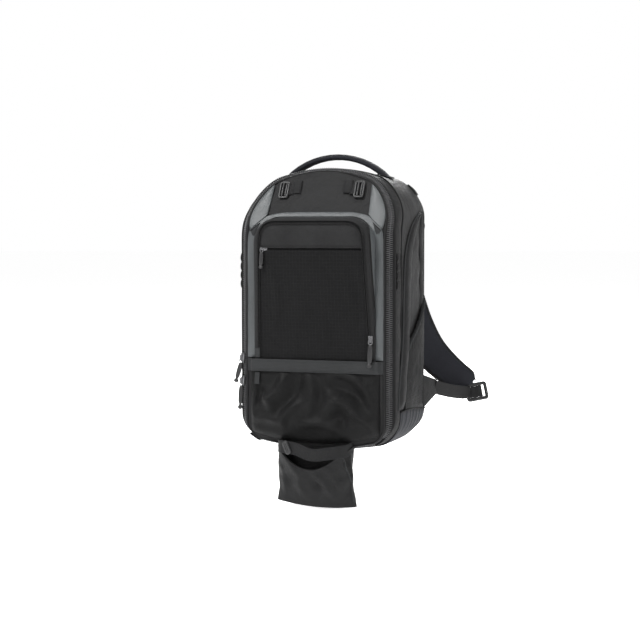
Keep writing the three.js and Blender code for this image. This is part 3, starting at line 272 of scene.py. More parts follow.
def spline(points, steps):
    """Centripetal Catmull-Rom curve through points: steps + 1 places at equal parameter."""
    p = np.asarray(points, float)
    p = np.vstack([2 * p[0] - p[1], p, 2 * p[-1] - p[-2]])
    t = np.linspace(0, 1, steps + 1) * (len(p) - 3)
    k = np.minimum(t.astype(int), len(p) - 4)
    w = (t - k)[:, None]
    p0, p1, p2, p3 = p[k], p[k + 1], p[k + 2], p[k + 3]
    d0, d1, d2 = (np.maximum(np.linalg.norm(b - a, axis=1)[:, None] ** 0.5, 1e-4)
                  for a, b in ((p0, p1), (p1, p2), (p2, p3)))
    m1 = ((p1 - p0) / d0 - (p2 - p0) / (d0 + d1) + (p2 - p1) / d1) * d1
    m2 = ((p2 - p1) / d1 - (p3 - p1) / (d1 + d2) + (p3 - p2) / d2) * d1
    c2, c3 = -3 * p1 + 3 * p2 - 2 * m1 - m2, 2 * p1 - 2 * p2 + m1 + m2
    return p1 + m1 * w + c2 * w ** 2 + c3 * w ** 3


def resample(path, step, closed=False):
    """The path again at equal steps of about the given length."""
    p = np.asarray(path, float)
    if closed:
        p = np.vstack([p, p[:1]])
    run = np.concatenate([[0], np.cumsum(np.linalg.norm(np.diff(p, axis=0), axis=1))])
    count = max(2, int(round(run[-1] / step)))
    at = np.linspace(0, run[-1], count + 1)
    if closed:
        at = at[:-1]
    return np.stack([np.interp(at, run, p[:, k]) for k in range(3)], axis=1)


def unit(v):
    """Vectors at length one."""
    return v / np.maximum(np.linalg.norm(v, axis=-1, keepdims=True), 1e-9)


def frames(path, normals, closed=False):
    """Direction, side and up vectors along a path. Up starts from the given normals."""
    p = np.asarray(path, float)
    if closed:
        along = np.roll(p, -1, axis=0) - np.roll(p, 1, axis=0)
    else:
        along = np.gradient(p, axis=0)
    along = unit(along)
    up = np.broadcast_to(np.asarray(normals, float), p.shape)
    up = unit(up - along * np.sum(up * along, axis=1, keepdims=True))
    return along, np.cross(along, up), up


def weld(mesh, distance=2e-7):
    """Merges points that share a place, so that seams and poles close."""
    work = bmesh.new()
    work.from_mesh(mesh)
    bmesh.ops.remove_doubles(work, verts=work.verts, dist=distance)
    bmesh.ops.dissolve_degenerate(work, edges=work.edges, dist=distance)
    work.to_mesh(mesh)
    work.free()


def build(name, verts, faces, uv=None):
    """Mesh object from row-frame points, faces of equal size and one uv for each face corner."""
    mesh = bpy.data.meshes.new(name)
    verts = np.asarray(verts, np.float32)
    faces = np.asarray(faces, np.int32)
    mesh.vertices.add(len(verts))
    mesh.vertices.foreach_set("co", verts.ravel())
    sides = faces.shape[1]
    mesh.loops.add(faces.size)
    mesh.loops.foreach_set("vertex_index", faces.ravel())
    mesh.polygons.add(len(faces))
    mesh.polygons.foreach_set("loop_start", np.arange(0, faces.size, sides, dtype=np.int32))
    mesh.polygons.foreach_set("use_smooth", np.ones(len(faces), bool))
    if uv is not None:
        layer = mesh.uv_layers.new(name="Cloth")
        layer.data.foreach_set("uv", np.asarray(uv, np.float32).ravel())
    mesh.update()
    weld(mesh)
    obj = bpy.data.objects.new(name, mesh)
    bpy.context.scene.collection.objects.link(obj)
    return obj


def cells(rows, cols, wrap_rows, wrap_cols):
    """Quads of a grid as corner numbers, on the grid as it is and on the unwrapped grid."""
    down = np.arange(rows if wrap_rows else rows - 1)
    across = np.arange(cols if wrap_cols else cols - 1)
    i, j = np.meshgrid(down, across, indexing="ij")
    i, j = i.ravel(), j.ravel()
    a, b = (i + 1) % rows, (j + 1) % cols
    real = np.stack([i * cols + j, i * cols + b, a * cols + b, a * cols + j], axis=1)
    wide = cols + 1
    first = i * wide + j
    flat = np.stack([first, first + 1, first + wide + 1, first + wide], axis=1)
    return real, flat


def lengths_uv(grid, wrap_rows=False, wrap_cols=True):
    """Metres along the rows and down the columns of a grid of row-frame points, with one row
    and one column more: the first again where the grid wraps, else the last again."""
    grid = np.concatenate([grid, grid[:, :1] if wrap_cols else grid[:, -1:]], axis=1)
    grid = np.concatenate([grid, grid[:1] if wrap_rows else grid[-1:]], axis=0)
    du = np.linalg.norm(np.diff(grid, axis=1), axis=2)
    dv = np.linalg.norm(np.diff(grid, axis=0), axis=2)
    u = np.concatenate([np.zeros((grid.shape[0], 1)), np.cumsum(du, axis=1)], axis=1)
    u = u - u[:, grid.shape[1] // 2][:, None]
    v = np.concatenate([[0.0], np.cumsum(dv.mean(axis=1))])
    return np.stack([u, np.broadcast_to(v[:, None], u.shape)], axis=2)


def skin(name, points, facing=None, wrap_cols=False, thick=0.0):
    """Surface on a grid of bag points. It faces the given direction, or outwards where it is
    closed or wraps round, and a Solidify modifier gives it its thickness behind the face."""
    grid = to_row(points)
    rows, cols = grid.shape[:2]
    real, flat = cells(rows, cols, False, wrap_cols)
    uv = lengths_uv(grid, wrap_cols=wrap_cols).reshape(-1, 2)
    verts = grid.reshape(-1, 3)
    a, b, c, d = (verts[real[:, k]] for k in range(4))
    normal = np.cross(c - a, d - b)
    if facing is None:
        middle = verts.mean(axis=0)
        score = np.sum(normal * ((a + b + c + d) / 4.0 - middle))
    else:
        score = np.sum(normal @ np.asarray(facing, float))
    if score < 0:
        real, flat = real[:, ::-1], flat[:, ::-1]
    obj = build(name, verts, real, uv[flat.ravel()])
    if thick:
        wall = obj.modifiers.new("Wall", "SOLIDIFY")
        wall.thickness = thick / 1000.0
        wall.offset = -1.0
        wall.use_even_offset = False
    return obj


def plate(name, front, back):
    """Closed solid between two grids of bag points, with its rim filled in."""
    ring = np.concatenate([front, back[:, ::-1]], axis=1)
    rows = ring.shape[0]
    real, flat = cells(rows, ring.shape[1], False, True)
    verts = to_row(ring).reshape(-1, 3)
    wide = ring.shape[1]
    half = front.shape[1]
    j = np.arange(half - 1)
    caps = []
    for row, flip in ((0, False), (rows - 1, True)):
        quad = row * wide + np.stack([j, wide - 1 - j, wide - 2 - j, j + 1], axis=1)
        caps.append(quad[:, ::-1] if flip else quad)
    uv = lengths_uv(to_row(ring))
    cap_uv = [uv[row][cap.ravel() % wide] for row, cap in zip((0, rows - 1), caps)]
    uv = np.concatenate([uv.reshape(-1, 2)[flat.ravel()], *cap_uv])
    faces = np.concatenate([real, *caps])
    return turned_out(name, verts, faces, uv)


def turned_out(name, verts, faces, uv=None):
    """Closed mesh whose faces are turned to make its volume positive."""
    a, b, c, d = (verts[faces[:, k]] for k in range(4))
    volume = np.sum(a * np.cross(b, c)) + np.sum(a * np.cross(c, d))
    if volume < 0:
        faces = faces[:, ::-1]
        if uv is not None:
            uv = uv.reshape(-1, 4, 2)[:, ::-1].reshape(-1, 2)
    return build(name, verts, faces, uv)


def sweep(name, path, section, normals, closed=False, scale=None):
    """Tube: a section of (side, up) points carried along a path. Its ends close on a point.
    Scale multiplies the section at each station, for its two directions."""
    p = np.asarray(path, float)
    _, side, up = frames(p, normals, closed)
    section = np.asarray(section, float)
    scale = 1.0 if scale is None else np.asarray(scale, float).reshape(len(p), -1)
    size = scale * np.ones((len(p), 2))
    ring = (p[:, None] + side[:, None] * (section[None, :, :1] * size[:, None, :1])
            + up[:, None] * (section[None, :, 1:] * size[:, None, 1:]))
    if not closed:
        ends = [np.broadcast_to(p[k], ring[:1].shape) for k in (0, -1)]
        ring = np.concatenate([ends[0], ring, ends[1]], axis=0)
    real, flat = cells(ring.shape[0], ring.shape[1], closed, True)
    uv = lengths_uv(to_row(ring), closed).reshape(-1, 2)[flat.ravel()]
    return turned_out(name, to_row(ring).reshape(-1, 3), real, uv)


def round_section(wide, tall, sides, power=1.0):
    """Superellipse of half sizes: (|cos|^p, |sin|^p) with their signs."""
    a = np.arange(sides) * 2 * math.pi / sides
    c, s = np.cos(a), np.sin(a)
    x, y = wide * np.sign(c) * np.abs(c) ** power, tall * np.sign(s) * np.abs(s) ** power
    return np.stack([x, y], axis=1)


def copies(name, shape, faces, origins, axes):
    """One mesh of many copies of a small shape. Each copy has an origin and three axes."""
    shape = np.asarray(shape, float)
    places = origins[:, None] + sum(axes[k][:, None] * shape[None, :, k:k + 1] for k in range(3))
    first = np.arange(len(origins))[:, None, None] * len(shape)
    all_faces = (np.asarray(faces)[None] + first).reshape(-1, 4)
    return turned_out(name, to_row(places.reshape(-1, 3)), all_faces)


def lozenge(long, wide, tall, taper=0.55):
    """Small six-sided bar, tapered to a point at each end, and its quads."""
    ring = round_section(wide / 2.0, tall / 2.0, 6)
    rings = ((-0.5, 0.0), (-0.42, taper), (-0.2, 1.0), (0.2, 1.0), (0.42, taper), (0.5, 0.0))
    points = np.concatenate([np.column_stack([np.full(6, at * long), ring * size])
                             for at, size in rings])
    real, _ = cells(len(rings), 6, False, True)
    return points, real


def stations(path, normals, step, closed):
    """Places at equal steps along a path, with direction, side and up vectors. Each takes its
    normal from the path's nearest point."""
    p = resample(path, step, closed)
    path = np.asarray(path, float)
    up = np.broadcast_to(np.asarray(normals, float), path.shape)
    nearest = np.argmin(np.linalg.norm(p[:, None] - path[None], axis=2), axis=1)
    return (p, *frames(p, up[nearest], closed))


def stitches(name, path, normals, long=3.2, gap=1.2, lift=0.15, thick=0.55, closed=False):
    """Row of thread stitches lying on a surface along a path."""
    p, along, side, up = stations(path, normals, long + gap, closed)
    shape, faces = lozenge(long, thick, thick)
    return copies(name, shape, faces, p + up * lift, (along, side, up))


def zip_teeth(name, path, normals, pitch, half, tall, closed=False):
    """Two rows of coil teeth that interlock on the path, each a rounded bar across it."""
    p, along, side, up = stations(path, normals, pitch / 2.0, closed)
    shape, faces = lozenge(half * 1.35, pitch * 0.34, tall, taper=0.75)
    hand = np.where(np.arange(len(p)) % 2 == 0, 1.0, -1.0)[:, None]
    at = p + side * hand * half * 0.42 + up * tall * 0.3
    return copies(name, shape, faces, at, (side * hand, along * hand, up))


def add_node(tree, kind, inputs=None, **settings):
    """New node with its settings, and its inputs given as values or as sockets to link."""
    made = tree.nodes.new(kind)
    for key, value in settings.items():
        setattr(made, key, value)
    for key, value in (inputs or {}).items():
        if isinstance(value, bpy.types.NodeSocket):
            tree.links.new(value, made.inputs[key])
        else:
            made.inputs[key].default_value = value
    return made


def new_finish(name, rough, metallic=0.0, sheen=0.0, gloss=0.5):
    """Material with a Principled shader, and its tree."""
    made = bpy.data.materials.new(name)
    made.use_nodes = True
    tree = made.node_tree
    shader = tree.nodes["Principled BSDF"]
    shader.inputs["Roughness"].default_value = rough
    shader.inputs["Metallic"].default_value = metallic
    shader.inputs["Sheen Weight"].default_value = sheen
    shader.inputs["Sheen Roughness"].default_value = 0.5
    shader.inputs["Specular IOR Level"].default_value = gloss
    return made, tree, shader


def tint(colour, factor):
    """A colour made lighter or darker, as four numbers."""
    return (*(min(1.0, c * factor) for c in tuple(colour)[:3]), 1.0)


def wave(tree, place, axis, period):
    """Sine bands across an axis, 0 to 1, with a period in metres."""
    made = add_node(tree, "ShaderNodeTexWave", {"Vector": place, "Scale": math.pi / 10.0 / period},
                    bands_direction=axis, wave_profile="SIN")
    return made.outputs["Fac"]


def maths(tree, kind, a, b=0.0):
    """Math node's result."""
    return add_node(tree, "ShaderNodeMath", {0: a, 1: b}, operation=kind).outputs[0]


def noise(tree, place, scale, detail, rough=0.5, distort=0.0):
    """Noise texture's value, 0 to 1."""
    inputs = {"Vector": place, "Scale": scale, "Detail": detail, "Roughness": rough,
              "Distortion": distort}
    return add_node(tree, "ShaderNodeTexNoise", inputs).outputs["Fac"]


def ramp(tree, value, low, high):
    """Colour between two stops, each a place and a colour."""
    made = add_node(tree, "ShaderNodeValToRGB", {"Fac": value})
    for stop, (at, colour) in zip(made.color_ramp.elements, (low, high)):
        stop.position = at
        stop.color = colour
    return made.outputs[0]


def cloth(name, colour, thread, relief=0.5, rough=0.8, vary=0.22, sheen=0.02, square=0.0,
          wrinkle=0.25, rib=False, lint_and_sheen_amount=0.25, gloss=0.1):
    """Woven cloth on the piece's own UV map: warp and weft as two crossed sine waves, ripstop
    lines as the same waves raised to a high power, colour clouds and soft wrinkles from noise.
    The thread crowns are lighter in random flecks, part lint and part painted sheen, and the
    ripstop lines are lighter as a painted highlight on their ridges."""
    made, tree, shader = new_finish(name, rough, sheen=sheen, gloss=gloss)
    uv = add_node(tree, "ShaderNodeUVMap", uv_map="Cloth").outputs[0]
    spot = add_node(tree, "ShaderNodeTexCoord").outputs["Object"]
    warp = wave(tree, uv, "X", thread)
    weft = wave(tree, uv, "Y", thread * 1.6 if rib else thread)
    if rib:
        weft_share = maths(tree, "MULTIPLY", weft, 0.75)
        weave = maths(tree, "ADD", weft_share, maths(tree, "MULTIPLY", warp, 0.25))
    else:
        weave = maths(tree, "MULTIPLY", warp, weft)
    cloud = noise(tree, spot, 14.0, 5.0, 0.6)
    fine = noise(tree, uv, 420.0, 2.0)
    shade = ramp(tree, cloud, (0.32, tint(colour, 1.0 - vary)), (0.7, tint(colour, 1.0 + vary)))
    height = maths(tree, "ADD", weave, maths(tree, "MULTIPLY", fine, 0.6))
    # Lighter colour on the thread crowns in random flecks: part lint, part painted sheen.
    lint_and_sheen = maths(tree, "MULTIPLY", maths(tree, "MULTIPLY", weave, fine), lint_and_sheen_amount * 2.0)
    if square:
        lines = maths(tree, "MAXIMUM", maths(tree, "POWER", wave(tree, uv, "X", square), 18.0),
                      maths(tree, "POWER", wave(tree, uv, "Y", square), 18.0))
        height = maths(tree, "ADD", height, maths(tree, "MULTIPLY", lines, 3.0))
        # Lighter ripstop lines: painted highlight on their raised ridges.
        lint_and_sheen = maths(tree, "ADD", lint_and_sheen, maths(tree, "MULTIPLY", lines, 0.4))
    mix = add_node(tree, "ShaderNodeMix", {0: lint_and_sheen, 6: shade, 7: tint(colour, 2.4)},
                   data_type="RGBA")
    mix.clamp_factor = True
    tree.links.new(mix.outputs[2], shader.inputs["Base Color"])
    dull = add_node(tree, "ShaderNodeMapRange", {
        0: cloud, 1: 0.3, 2: 0.7, 3: rough - 0.08, 4: min(1.0, rough + 0.08)})
    tree.links.new(dull.outputs[0], shader.inputs["Roughness"])
    crease = noise(tree, spot, 34.0, 4.0, 0.55, 0.6)
    broad = add_node(tree, "ShaderNodeBump", {"Height": crease, "Strength": wrinkle, "Distance": 0.004})
    close = add_node(tree, "ShaderNodeBump", {
        "Height": height, "Strength": relief, "Distance": thread * 0.25, "Normal": broad.outputs[0]})
    tree.links.new(close.outputs[0], shader.inputs["Normal"])
    return made


def moulded(name, colour, rough=0.42):
    """Moulded plastic: a fine pebbled skin and faint scuffs, on Object coordinates."""
    made, tree, shader = new_finish(name, rough, gloss=0.35)
    spot = add_node(tree, "ShaderNodeTexCoord").outputs["Object"]
    grain = noise(tree, spot, 1400.0, 2.0)
    scuff = noise(tree, spot, 120.0, 6.0, 0.7)
    shade = ramp(tree, scuff, (0.4, tint(colour, 0.9)), (0.75, tint(colour, 1.5)))
    tree.links.new(shade, shader.inputs["Base Color"])
    gloss = add_node(tree, "ShaderNodeMapRange", {
        0: scuff, 1: 0.35, 2: 0.7, 3: rough - 0.08, 4: rough + 0.16})
    tree.links.new(gloss.outputs[0], shader.inputs["Roughness"])
    bump = add_node(tree, "ShaderNodeBump", {"Height": grain, "Strength": 0.3, "Distance": 0.0002})
    tree.links.new(bump.outputs[0], shader.inputs["Normal"])
    return made


def plated(name, colour):
    """Plated metal: bright, with fine handling marks in its gloss, on Object coordinates."""
    made, tree, shader = new_finish(name, 0.3, metallic=1.0)
    spot = add_node(tree, "ShaderNodeTexCoord").outputs["Object"]
    marks = noise(tree, spot, 700.0, 5.0, 0.7)
    shade = ramp(tree, marks, (0.0, tint(colour, 0.7)), (1.0, tint(colour, 1.25)))
    tree.links.new(shade, shader.inputs["Base Color"])
    gloss = add_node(tree, "ShaderNodeMapRange", {0: marks, 1: 0.3, 2: 0.7, 3: 0.2, 4: 0.45})
    tree.links.new(gloss.outputs[0], shader.inputs["Roughness"])
    bump = add_node(tree, "ShaderNodeBump", {"Height": marks, "Strength": 0.15, "Distance": 0.0001})
    tree.links.new(bump.outputs[0], shader.inputs["Normal"])
    return made


FINISHES = {}


def finish_of(slot):
    """The material of a slot, made once from the colours in the panel."""
    if slot in FINISHES:
        return FINISHES[slot]
    tones = bpy.context.scene.backpack_colours
    sizes = bpy.context.scene.backpack_sizes
    thread = sizes.thread
    if slot == "body":
        made = cloth("Body cloth", tones.body, thread, rough=0.62, vary=0.4, wrinkle=0.8,
                     lint_and_sheen_amount=0.6, gloss=0.13)
    elif slot == "coated":
        made = cloth("Coated cloth", tones.coated, thread * 0.8, relief=0.3, rough=0.42, vary=0.16,
                     wrinkle=0.35, lint_and_sheen_amount=0.12, gloss=0.35)
    elif slot == "ripstop":
        made = cloth("Ripstop cloth", tones.ripstop, thread * 0.8, rough=0.7, vary=0.25,
                     square=sizes.ripstop, wrinkle=0.7, lint_and_sheen_amount=0.3, gloss=0.07)
    elif slot == "slack":
        made = cloth("Slack cloth", tint(tones.ripstop, 0.5)[:3], thread * 0.8, rough=0.55,
                     vary=0.35, wrinkle=0.6, lint_and_sheen_amount=0.4, gloss=0.13)
    elif slot == "band":
        made = cloth("Band webbing", tones.band, thread * 1.3, relief=0.7, rough=0.7, rib=True,
                     wrinkle=0.15)
    elif slot == "boot":
        made = cloth("Boot cloth", tones.boot, thread * 1.4, relief=0.7, rough=0.7, vary=0.2,
                     wrinkle=0.4)
    elif slot == "strap":
        made = cloth("Strap cloth", tones.strap, thread * 0.7, relief=0.3, rough=0.85, vary=0.12,
                     sheen=0.03)
    elif slot == "webbing":
        made = cloth("Webbing", tones.webbing, thread * 1.3, relief=0.8, rough=0.75, rib=True,
                     wrinkle=0.1)
    elif slot == "plastic":
        made = moulded("Moulded plastic", tones.plastic)
    elif slot == "coil":
        made = moulded("Zip coil", tint(tones.plastic, 5.2)[:3], rough=0.34)
    else:
        made = plated("Plated metal", tones.metal)
    FINISHES[slot] = made
    return made


def place(obj, slot, *nodes, fill=None):
    """Gives a piece its finish, its body and the nodes that it stands for."""
    obj.data.materials.append(finish_of(slot))
    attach(obj, "root")
    if nodes:
        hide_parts(*nodes)
    return obj


def cord(name, path, section, normals, slot, *nodes, closed=False, scale=None):
    """Places a cord or a strip: a rounded section carried along a path."""
    return place(sweep(name, path, round_section(*section), normals, closed, scale), slot, *nodes)


def sewn(name, path, normals, slot, **sizes):
    """Places a row of stitches."""
    return place(stitches(name, path, normals, **sizes), slot)


def slab(name, front, back, slot, *nodes):
    """Places a closed solid between two grids."""
    return place(plate(name, front, back), slot, *nodes)


HANDS = (("left", -1.0), ("right", 1.0))


def from_outline(x, z, y):
    """Grid of bag points from outline arrays at one depth a row, leaned."""
    y = np.broadcast_to(np.asarray(y, float)[:, None], x.shape)
    return xyz(x, leaned(y, z), z)


def outward(points):
    """Unit normals of a ring of points in its own x and z plane, pointing out."""
    d = np.roll(points, -1, axis=0) - np.roll(points, 1, axis=0)
    n = xyz(d[:, 2], np.zeros(len(d)), -d[:, 0])
    return unit(n)


def body_grid(depth, grow=0.0):
    """Leaned grid of the body's outlines at depth shares."""
    x, z = body_outline(depth, grow)
    return from_outline(x, z, body_y(np.atleast_1d(depth)))


def make_body():
    """Padded tray: outlines at depth shares, pushed out by a soft swell on the sides, seam
    grooves and a quiet ripple, then closed over the back."""
    depth = np.concatenate([np.linspace(0, 0.2, 22), np.linspace(0.2, 0.9, 46)[1:],
                            np.linspace(0.9, 1.0, 12)[1:]])
    grid = body_grid(depth)
    x, y, z = grid[..., 0], grid[..., 1], grid[..., 2]
    t = depth[:, None]
    side = blend01(np.abs(x), 120, 147)
    swell = 3.0 * side * blend01(z, 90, 200) * (1.0 - blend01(z, 300, 420)) * hump(t)
    groove = -1.4 * bell(t - 0.115, 0.012) - 1.0 * bell(t - 0.955, 0.012)
    lumps = ripple(y * 1.3 + x * 0.4, z, 5, 95.0, 0.9) * hump(np.clip(t, 0.02, 0.98)) ** 0.5
    gusset = 1.2 * hump(np.clip(t / 0.115, 0, 1)) * side
    push = swell + groove + lumps + gusset
    normal = np.stack([outward(row) for row in grid])
    grid = grid + normal * push[..., None]
    back = grid[-1:]
    centre = np.array([0.0, SHELL_BACK_Y, 235.0])
    inset = [centre + (back - centre) * share for share in (0.97, 0.9, 0.7, 0.4, 0.0)]
    obj = skin("body_cloth", np.concatenate([grid, *inset]), wrap_cols=True, thick=5.0)
    place(obj, "body", "body_shell", fill=0.6)


def make_body_trim():
    """Cord seams along the gusset and round the back edge, and a row of stitches."""
    for name, depth, radius in (("gusset_seam", 0.125, 1.3), ("back_seam", 0.975, 1.8)):
        path = resample(body_grid(depth, 0.4)[0], 5.0, closed=True)
        cord(name, path, (radius, radius, 8), outward(path), "webbing", closed=True)
    ring = resample(body_grid(0.145, 0.3)[0], 3.0, closed=True)
    sewn("gusset_stitches", ring, outward(ring), "webbing", closed=True)


def panel_rows(outset, count):
    """Right half of the panel's outline from base to top: half widths and heights."""
    half, top = PANEL_HALF + BEVEL_SIDE * outset, PANEL_TOP + BEVEL_TOP * outset
    base = PANEL_BASE - BEVEL_BASE * outset
    corner, shoulder = PANEL_CORNER + BEVEL_SIDE * outset, PANEL_SHOULDER + BEVEL_SIDE * outset
    a = np.linspace(0, math.pi / 2, count)
    straight = np.linspace(base + corner, top - shoulder, 4 * count + 2)[1:-1]
    x = np.concatenate([half - corner + corner * np.sin(a), np.full(4 * count, half),
                        half - shoulder + shoulder * np.cos(a)])
    z = np.concatenate([base + corner - corner * np.cos(a), straight,
                        top - shoulder + shoulder * np.sin(a)])
    return x, z, half, top, base


LID_FOLDS = np.array([
    [-70, 478, 60, 470, 7, 1.2], [-50, 440, 66, 452, 8, -1.2], [10, 486, 74, 448, 7, 1.0]])


def make_lid():
    """Front panel: rows across the outline, on the leaning plane, with a slack relief."""
    x_half, z, half, top, base = panel_rows(-0.04, 16)
    x = x_half[:, None] * np.linspace(-1, 1, 64)[None, :]
    z = bent(x, z[:, None] + 0 * x, half, top, base, CROWN)
    edge = np.minimum(half - np.abs(x), 12.0) / 12.0
    relief = ripple(x, z, 3, 80.0, 0.8) * edge + folds(x, z, LID_FOLDS) * edge
    y = FRONT_Y + lean(z) - 0.2 - relief
    obj = skin("lid_cloth", xyz(x, y, z), facing=(0, -1, 0), thick=6.0)
    place(obj, "body", "front_lid", fill=0.5)


def bevel_point(outset, lift=0.0, step=None):
    """Closed line on the zip's bevel at an outset, lifted off it, and its normals."""
    x, z = bevel_outline(outset)
    y = FRONT_Y + ZIP_DEPTH * np.atleast_1d(outset)
    ring = from_outline(x, z, y)[0]
    if step:
        ring = resample(ring, step, closed=True)
    normal = unit(outward(ring) + np.array([0.0, -1.0, 0.0]))
    return ring + normal * lift, normal


def make_main_zip():
    """Tape on the bevel, its coil of interlocked teeth, a cord on each edge and stitches."""
    outset = np.linspace(0, 1, 15)
    x, z = bevel_outline(outset)
    grid = from_outline(x, z, FRONT_Y + ZIP_DEPTH * outset)
    normal = np.stack([unit(outward(row) + np.array([0.0, -1.0, 0.0])) for row in grid])
    relief = 0.7 * bell(outset - 0.12, 0.1) + 0.7 * bell(outset - 0.88, 0.1)
    obj = skin("main_zip_tape", grid + normal * relief[:, None, None], wrap_cols=True, thick=3.0)
    place(obj, "webbing", "main_zip")
    sizes = bpy.context.scene.backpack_sizes
    path, up = bevel_point(0.44, 0.0, 6.0)
    place(zip_teeth("main_zip_teeth", path + up * 0.3, up, sizes.zip_pitch * 1000.0, 5.9, 2.6,
        closed=True), "coil")
    for name, at, radius in (("panel_cord", 0.02, 1.5), ("tape_cord", 0.16, 0.9),
            ("gusset_cord", 0.98, 1.3)):
        path, up = bevel_point(at, 0.7, 6.0)
        cord(name, path, (radius, radius, 8), up, "webbing", closed=True)
    for name, at in (("zip_stitches_inner", 0.24), ("zip_stitches_outer", 0.83)):
        path, up = bevel_point(at, 0.7, 4.0)
        sewn(name, path, up, "webbing", closed=True)


# Boot: its offset from the body, its edge's height and wave, and the pleats' spacing
BOOT_OUT, BOOT_HIGH, BOOT_WAVE, PLEAT_WIDE = 1.5, 66.0, 4.0, 19.0


def make_boot():
    """Skin round the lower body: base, corner arcs and short sides, with upright pleats."""
    depth = np.linspace(0.1, 0.97, 110)
    half, top, base, crown, corner = (column(BODY_SECTIONS, depth, k)[:, None] for k in range(1, 6))
    half, base, corner = half + BOOT_OUT, base - BOOT_OUT, corner + BOOT_OUT
    flat = np.linspace(0, 1, 26)[None, :-1]
    rise = np.linspace(0.1, 1, 10)[None, :]
    a = np.linspace(0, math.pi / 2, 18)[None, :]
    high = BOOT_HIGH + BOOT_WAVE * np.sin(depth * 5.0)[:, None]
    x = np.concatenate([flat * (half - corner), half - corner + corner * np.sin(a),
                        half + 0 * rise], axis=1)
    z = np.concatenate([base + 0 * flat, base + corner - corner * np.cos(a),
                        base + corner + (high - base - corner) * rise], axis=1)
    z = bent(x, z, half, top, base, crown)
    y = body_y(depth)[:, None]
    side = blend01(z, 16, 40)
    pleat = 1.3 * side * np.maximum(0, np.sin(y * WAVE / PLEAT_WIDE + 0.7 * np.sin(z / 17.0))) ** 2
    push = (pleat + ripple(y, z, 11, 60.0, 0.5))[..., None]
    grid = xyz(x, leaned(y, z), z)
    angle = np.clip(x - (half - corner), 0, None) / corner
    n = unit(xyz(np.sin(angle * math.pi / 2), 0 * angle, -np.cos(angle * math.pi / 2)))
    right = grid + n * push
    left = right[:, :0:-1] * np.array([-1.0, 1.0, 1.0])
    obj = skin("boot_cloth", np.concatenate([left, right], axis=1), facing=(0, 0, -1), thick=1.2)
    place(obj, "boot", "boot_panel")
    for hand, s in HANDS:
        path = resample(right[:, -1] * np.array([s, 1, 1]) + np.array([0.6 * s, 0, 0.4]), 4.0)
        cord(f"boot_binding_{hand}", path, (1.3, 1.8, 8), (s, 0, 0), "webbing")
        sewn(f"boot_stitches_{hand}", path - np.array([0, 0, 4.0]), (s, 0, 0), "webbing", lift=0.5)


def pocket_inset(x, z):
    """Distance in from the front pocket's rounded outline."""
    ax = np.abs(x)
    low = POCKET_TOP - POCKET_CORNER
    arc = POCKET_CORNER - np.hypot(np.clip(ax - POCKET_HALF + POCKET_CORNER, 0, None),
                                   np.clip(z - low, 0, None))
    straight = np.minimum(POCKET_HALF - ax, POCKET_TOP - z)
    corner = (ax > POCKET_HALF - POCKET_CORNER) & (z > low)
    return np.maximum(np.where(corner, arc, straight), 0.0)


def pocket_y(x, z):
    """Front pocket's surface: the panel's plane plus its rise, times a rounded wall profile
    1 - (1 - t)^p over the gusset, with a slit, a padded top and long slack folds."""
    share = (z - POCKET_LOW) / (POCKET_TOP - POCKET_LOW)
    rise = column(POCKET_ROWS, share, 1)
    full = column(POCKET_ROWS, share, 2)
    inset = pocket_inset(x, z)
    wall = wall_wide(z)
    t = np.clip(inset / wall, 0, 1)
    profile = (1.0 - (1.0 - t) ** 2.2) ** 0.8
    across = np.clip(np.abs(x) / (POCKET_HALF - wall), 0, 1)
    face = POCKET_DEPTH * rise + POCKET_FULL * full * (1 - across ** 2)
    inner = blend01(inset, wall, wall + 14.0)
    slit = 4.4 * bell(z - POCKET_ZIP_Z, 2.3) * (1 - blend01(np.abs(x), 91, 95))
    above = 1.2 * blend01(z, POCKET_ZIP_Z, POCKET_ZIP_Z + 5) * inner
    slack = (folds(x, z, POCKET_FOLDS) + ripple(x, z * 0.5, 8, 60.0, 0.6)) * inner
    lip = 0.9 * bell(inset - wall - 2.6, 1.6)
    panel = FRONT_Y - SEAT + lean(z)
    front = FRONT_Y - SEAT - face
    return panel + (front - panel) * profile - (slack + above + lip - slit) * profile


def height_normals(height, x, z):
    """Unit normals of a surface y = f(x, z), facing the front: (f_x, -1, f_z)."""
    e = 0.3
    fx = (height(x + e, z) - height(x - e, z)) / (2 * e)
    fz = (height(x, z + e) - height(x, z - e)) / (2 * e)
    return unit(xyz(fx, -np.ones_like(fx), fz))


def wall_wide(z):
    """Width of the front pocket's gusset at a height, seen from the front."""
    rise = column(POCKET_ROWS, (z - POCKET_LOW) / (POCKET_TOP - POCKET_LOW), 1)
    return POCKET_GUSSET * (0.35 + 0.65 * rise) - 5.5 * blend01(z, 370.0, 405.0)


def arch_line(margin, low, step=4.0):
    """Line that follows the pocket face's edge foot to foot over the top, at a margin
    outside it: the outline's rounded shape, inset by the gusset's width less the margin."""
    top = POCKET_TOP - POCKET_CORNER
    a = np.linspace(0, math.pi / 2, 16)
    flat_z = np.linspace(low, top, 41)[:-1]
    side = np.maximum(wall_wide(flat_z) - margin, 0.6)
    bow = np.maximum(wall_wide(top + POCKET_CORNER * np.sin(a)) - margin, 0.6)
    arc, flat_x = POCKET_CORNER - bow, POCKET_HALF - POCKET_CORNER
    x = np.concatenate([POCKET_HALF - side, flat_x + arc * np.cos(a), np.linspace(flat_x, 0, 14)[1:]])
    z = np.concatenate([flat_z, top + arc * np.sin(a), np.full(13, POCKET_TOP - bow[-1])])
    x, z = np.concatenate([x, -x[-2::-1]]), np.concatenate([z, z[-2::-1]])
    line = resample(xyz(x, 0 * x, z), step)
    return line[:, 0], line[:, 2]


def on_pocket(x, z, lift=0.0):
    """Points on the front pocket's surface, lifted off it, and their normals."""
    n = height_normals(pocket_y, x, z)
    return xyz(x, pocket_y(x, z), z) + n * lift, n


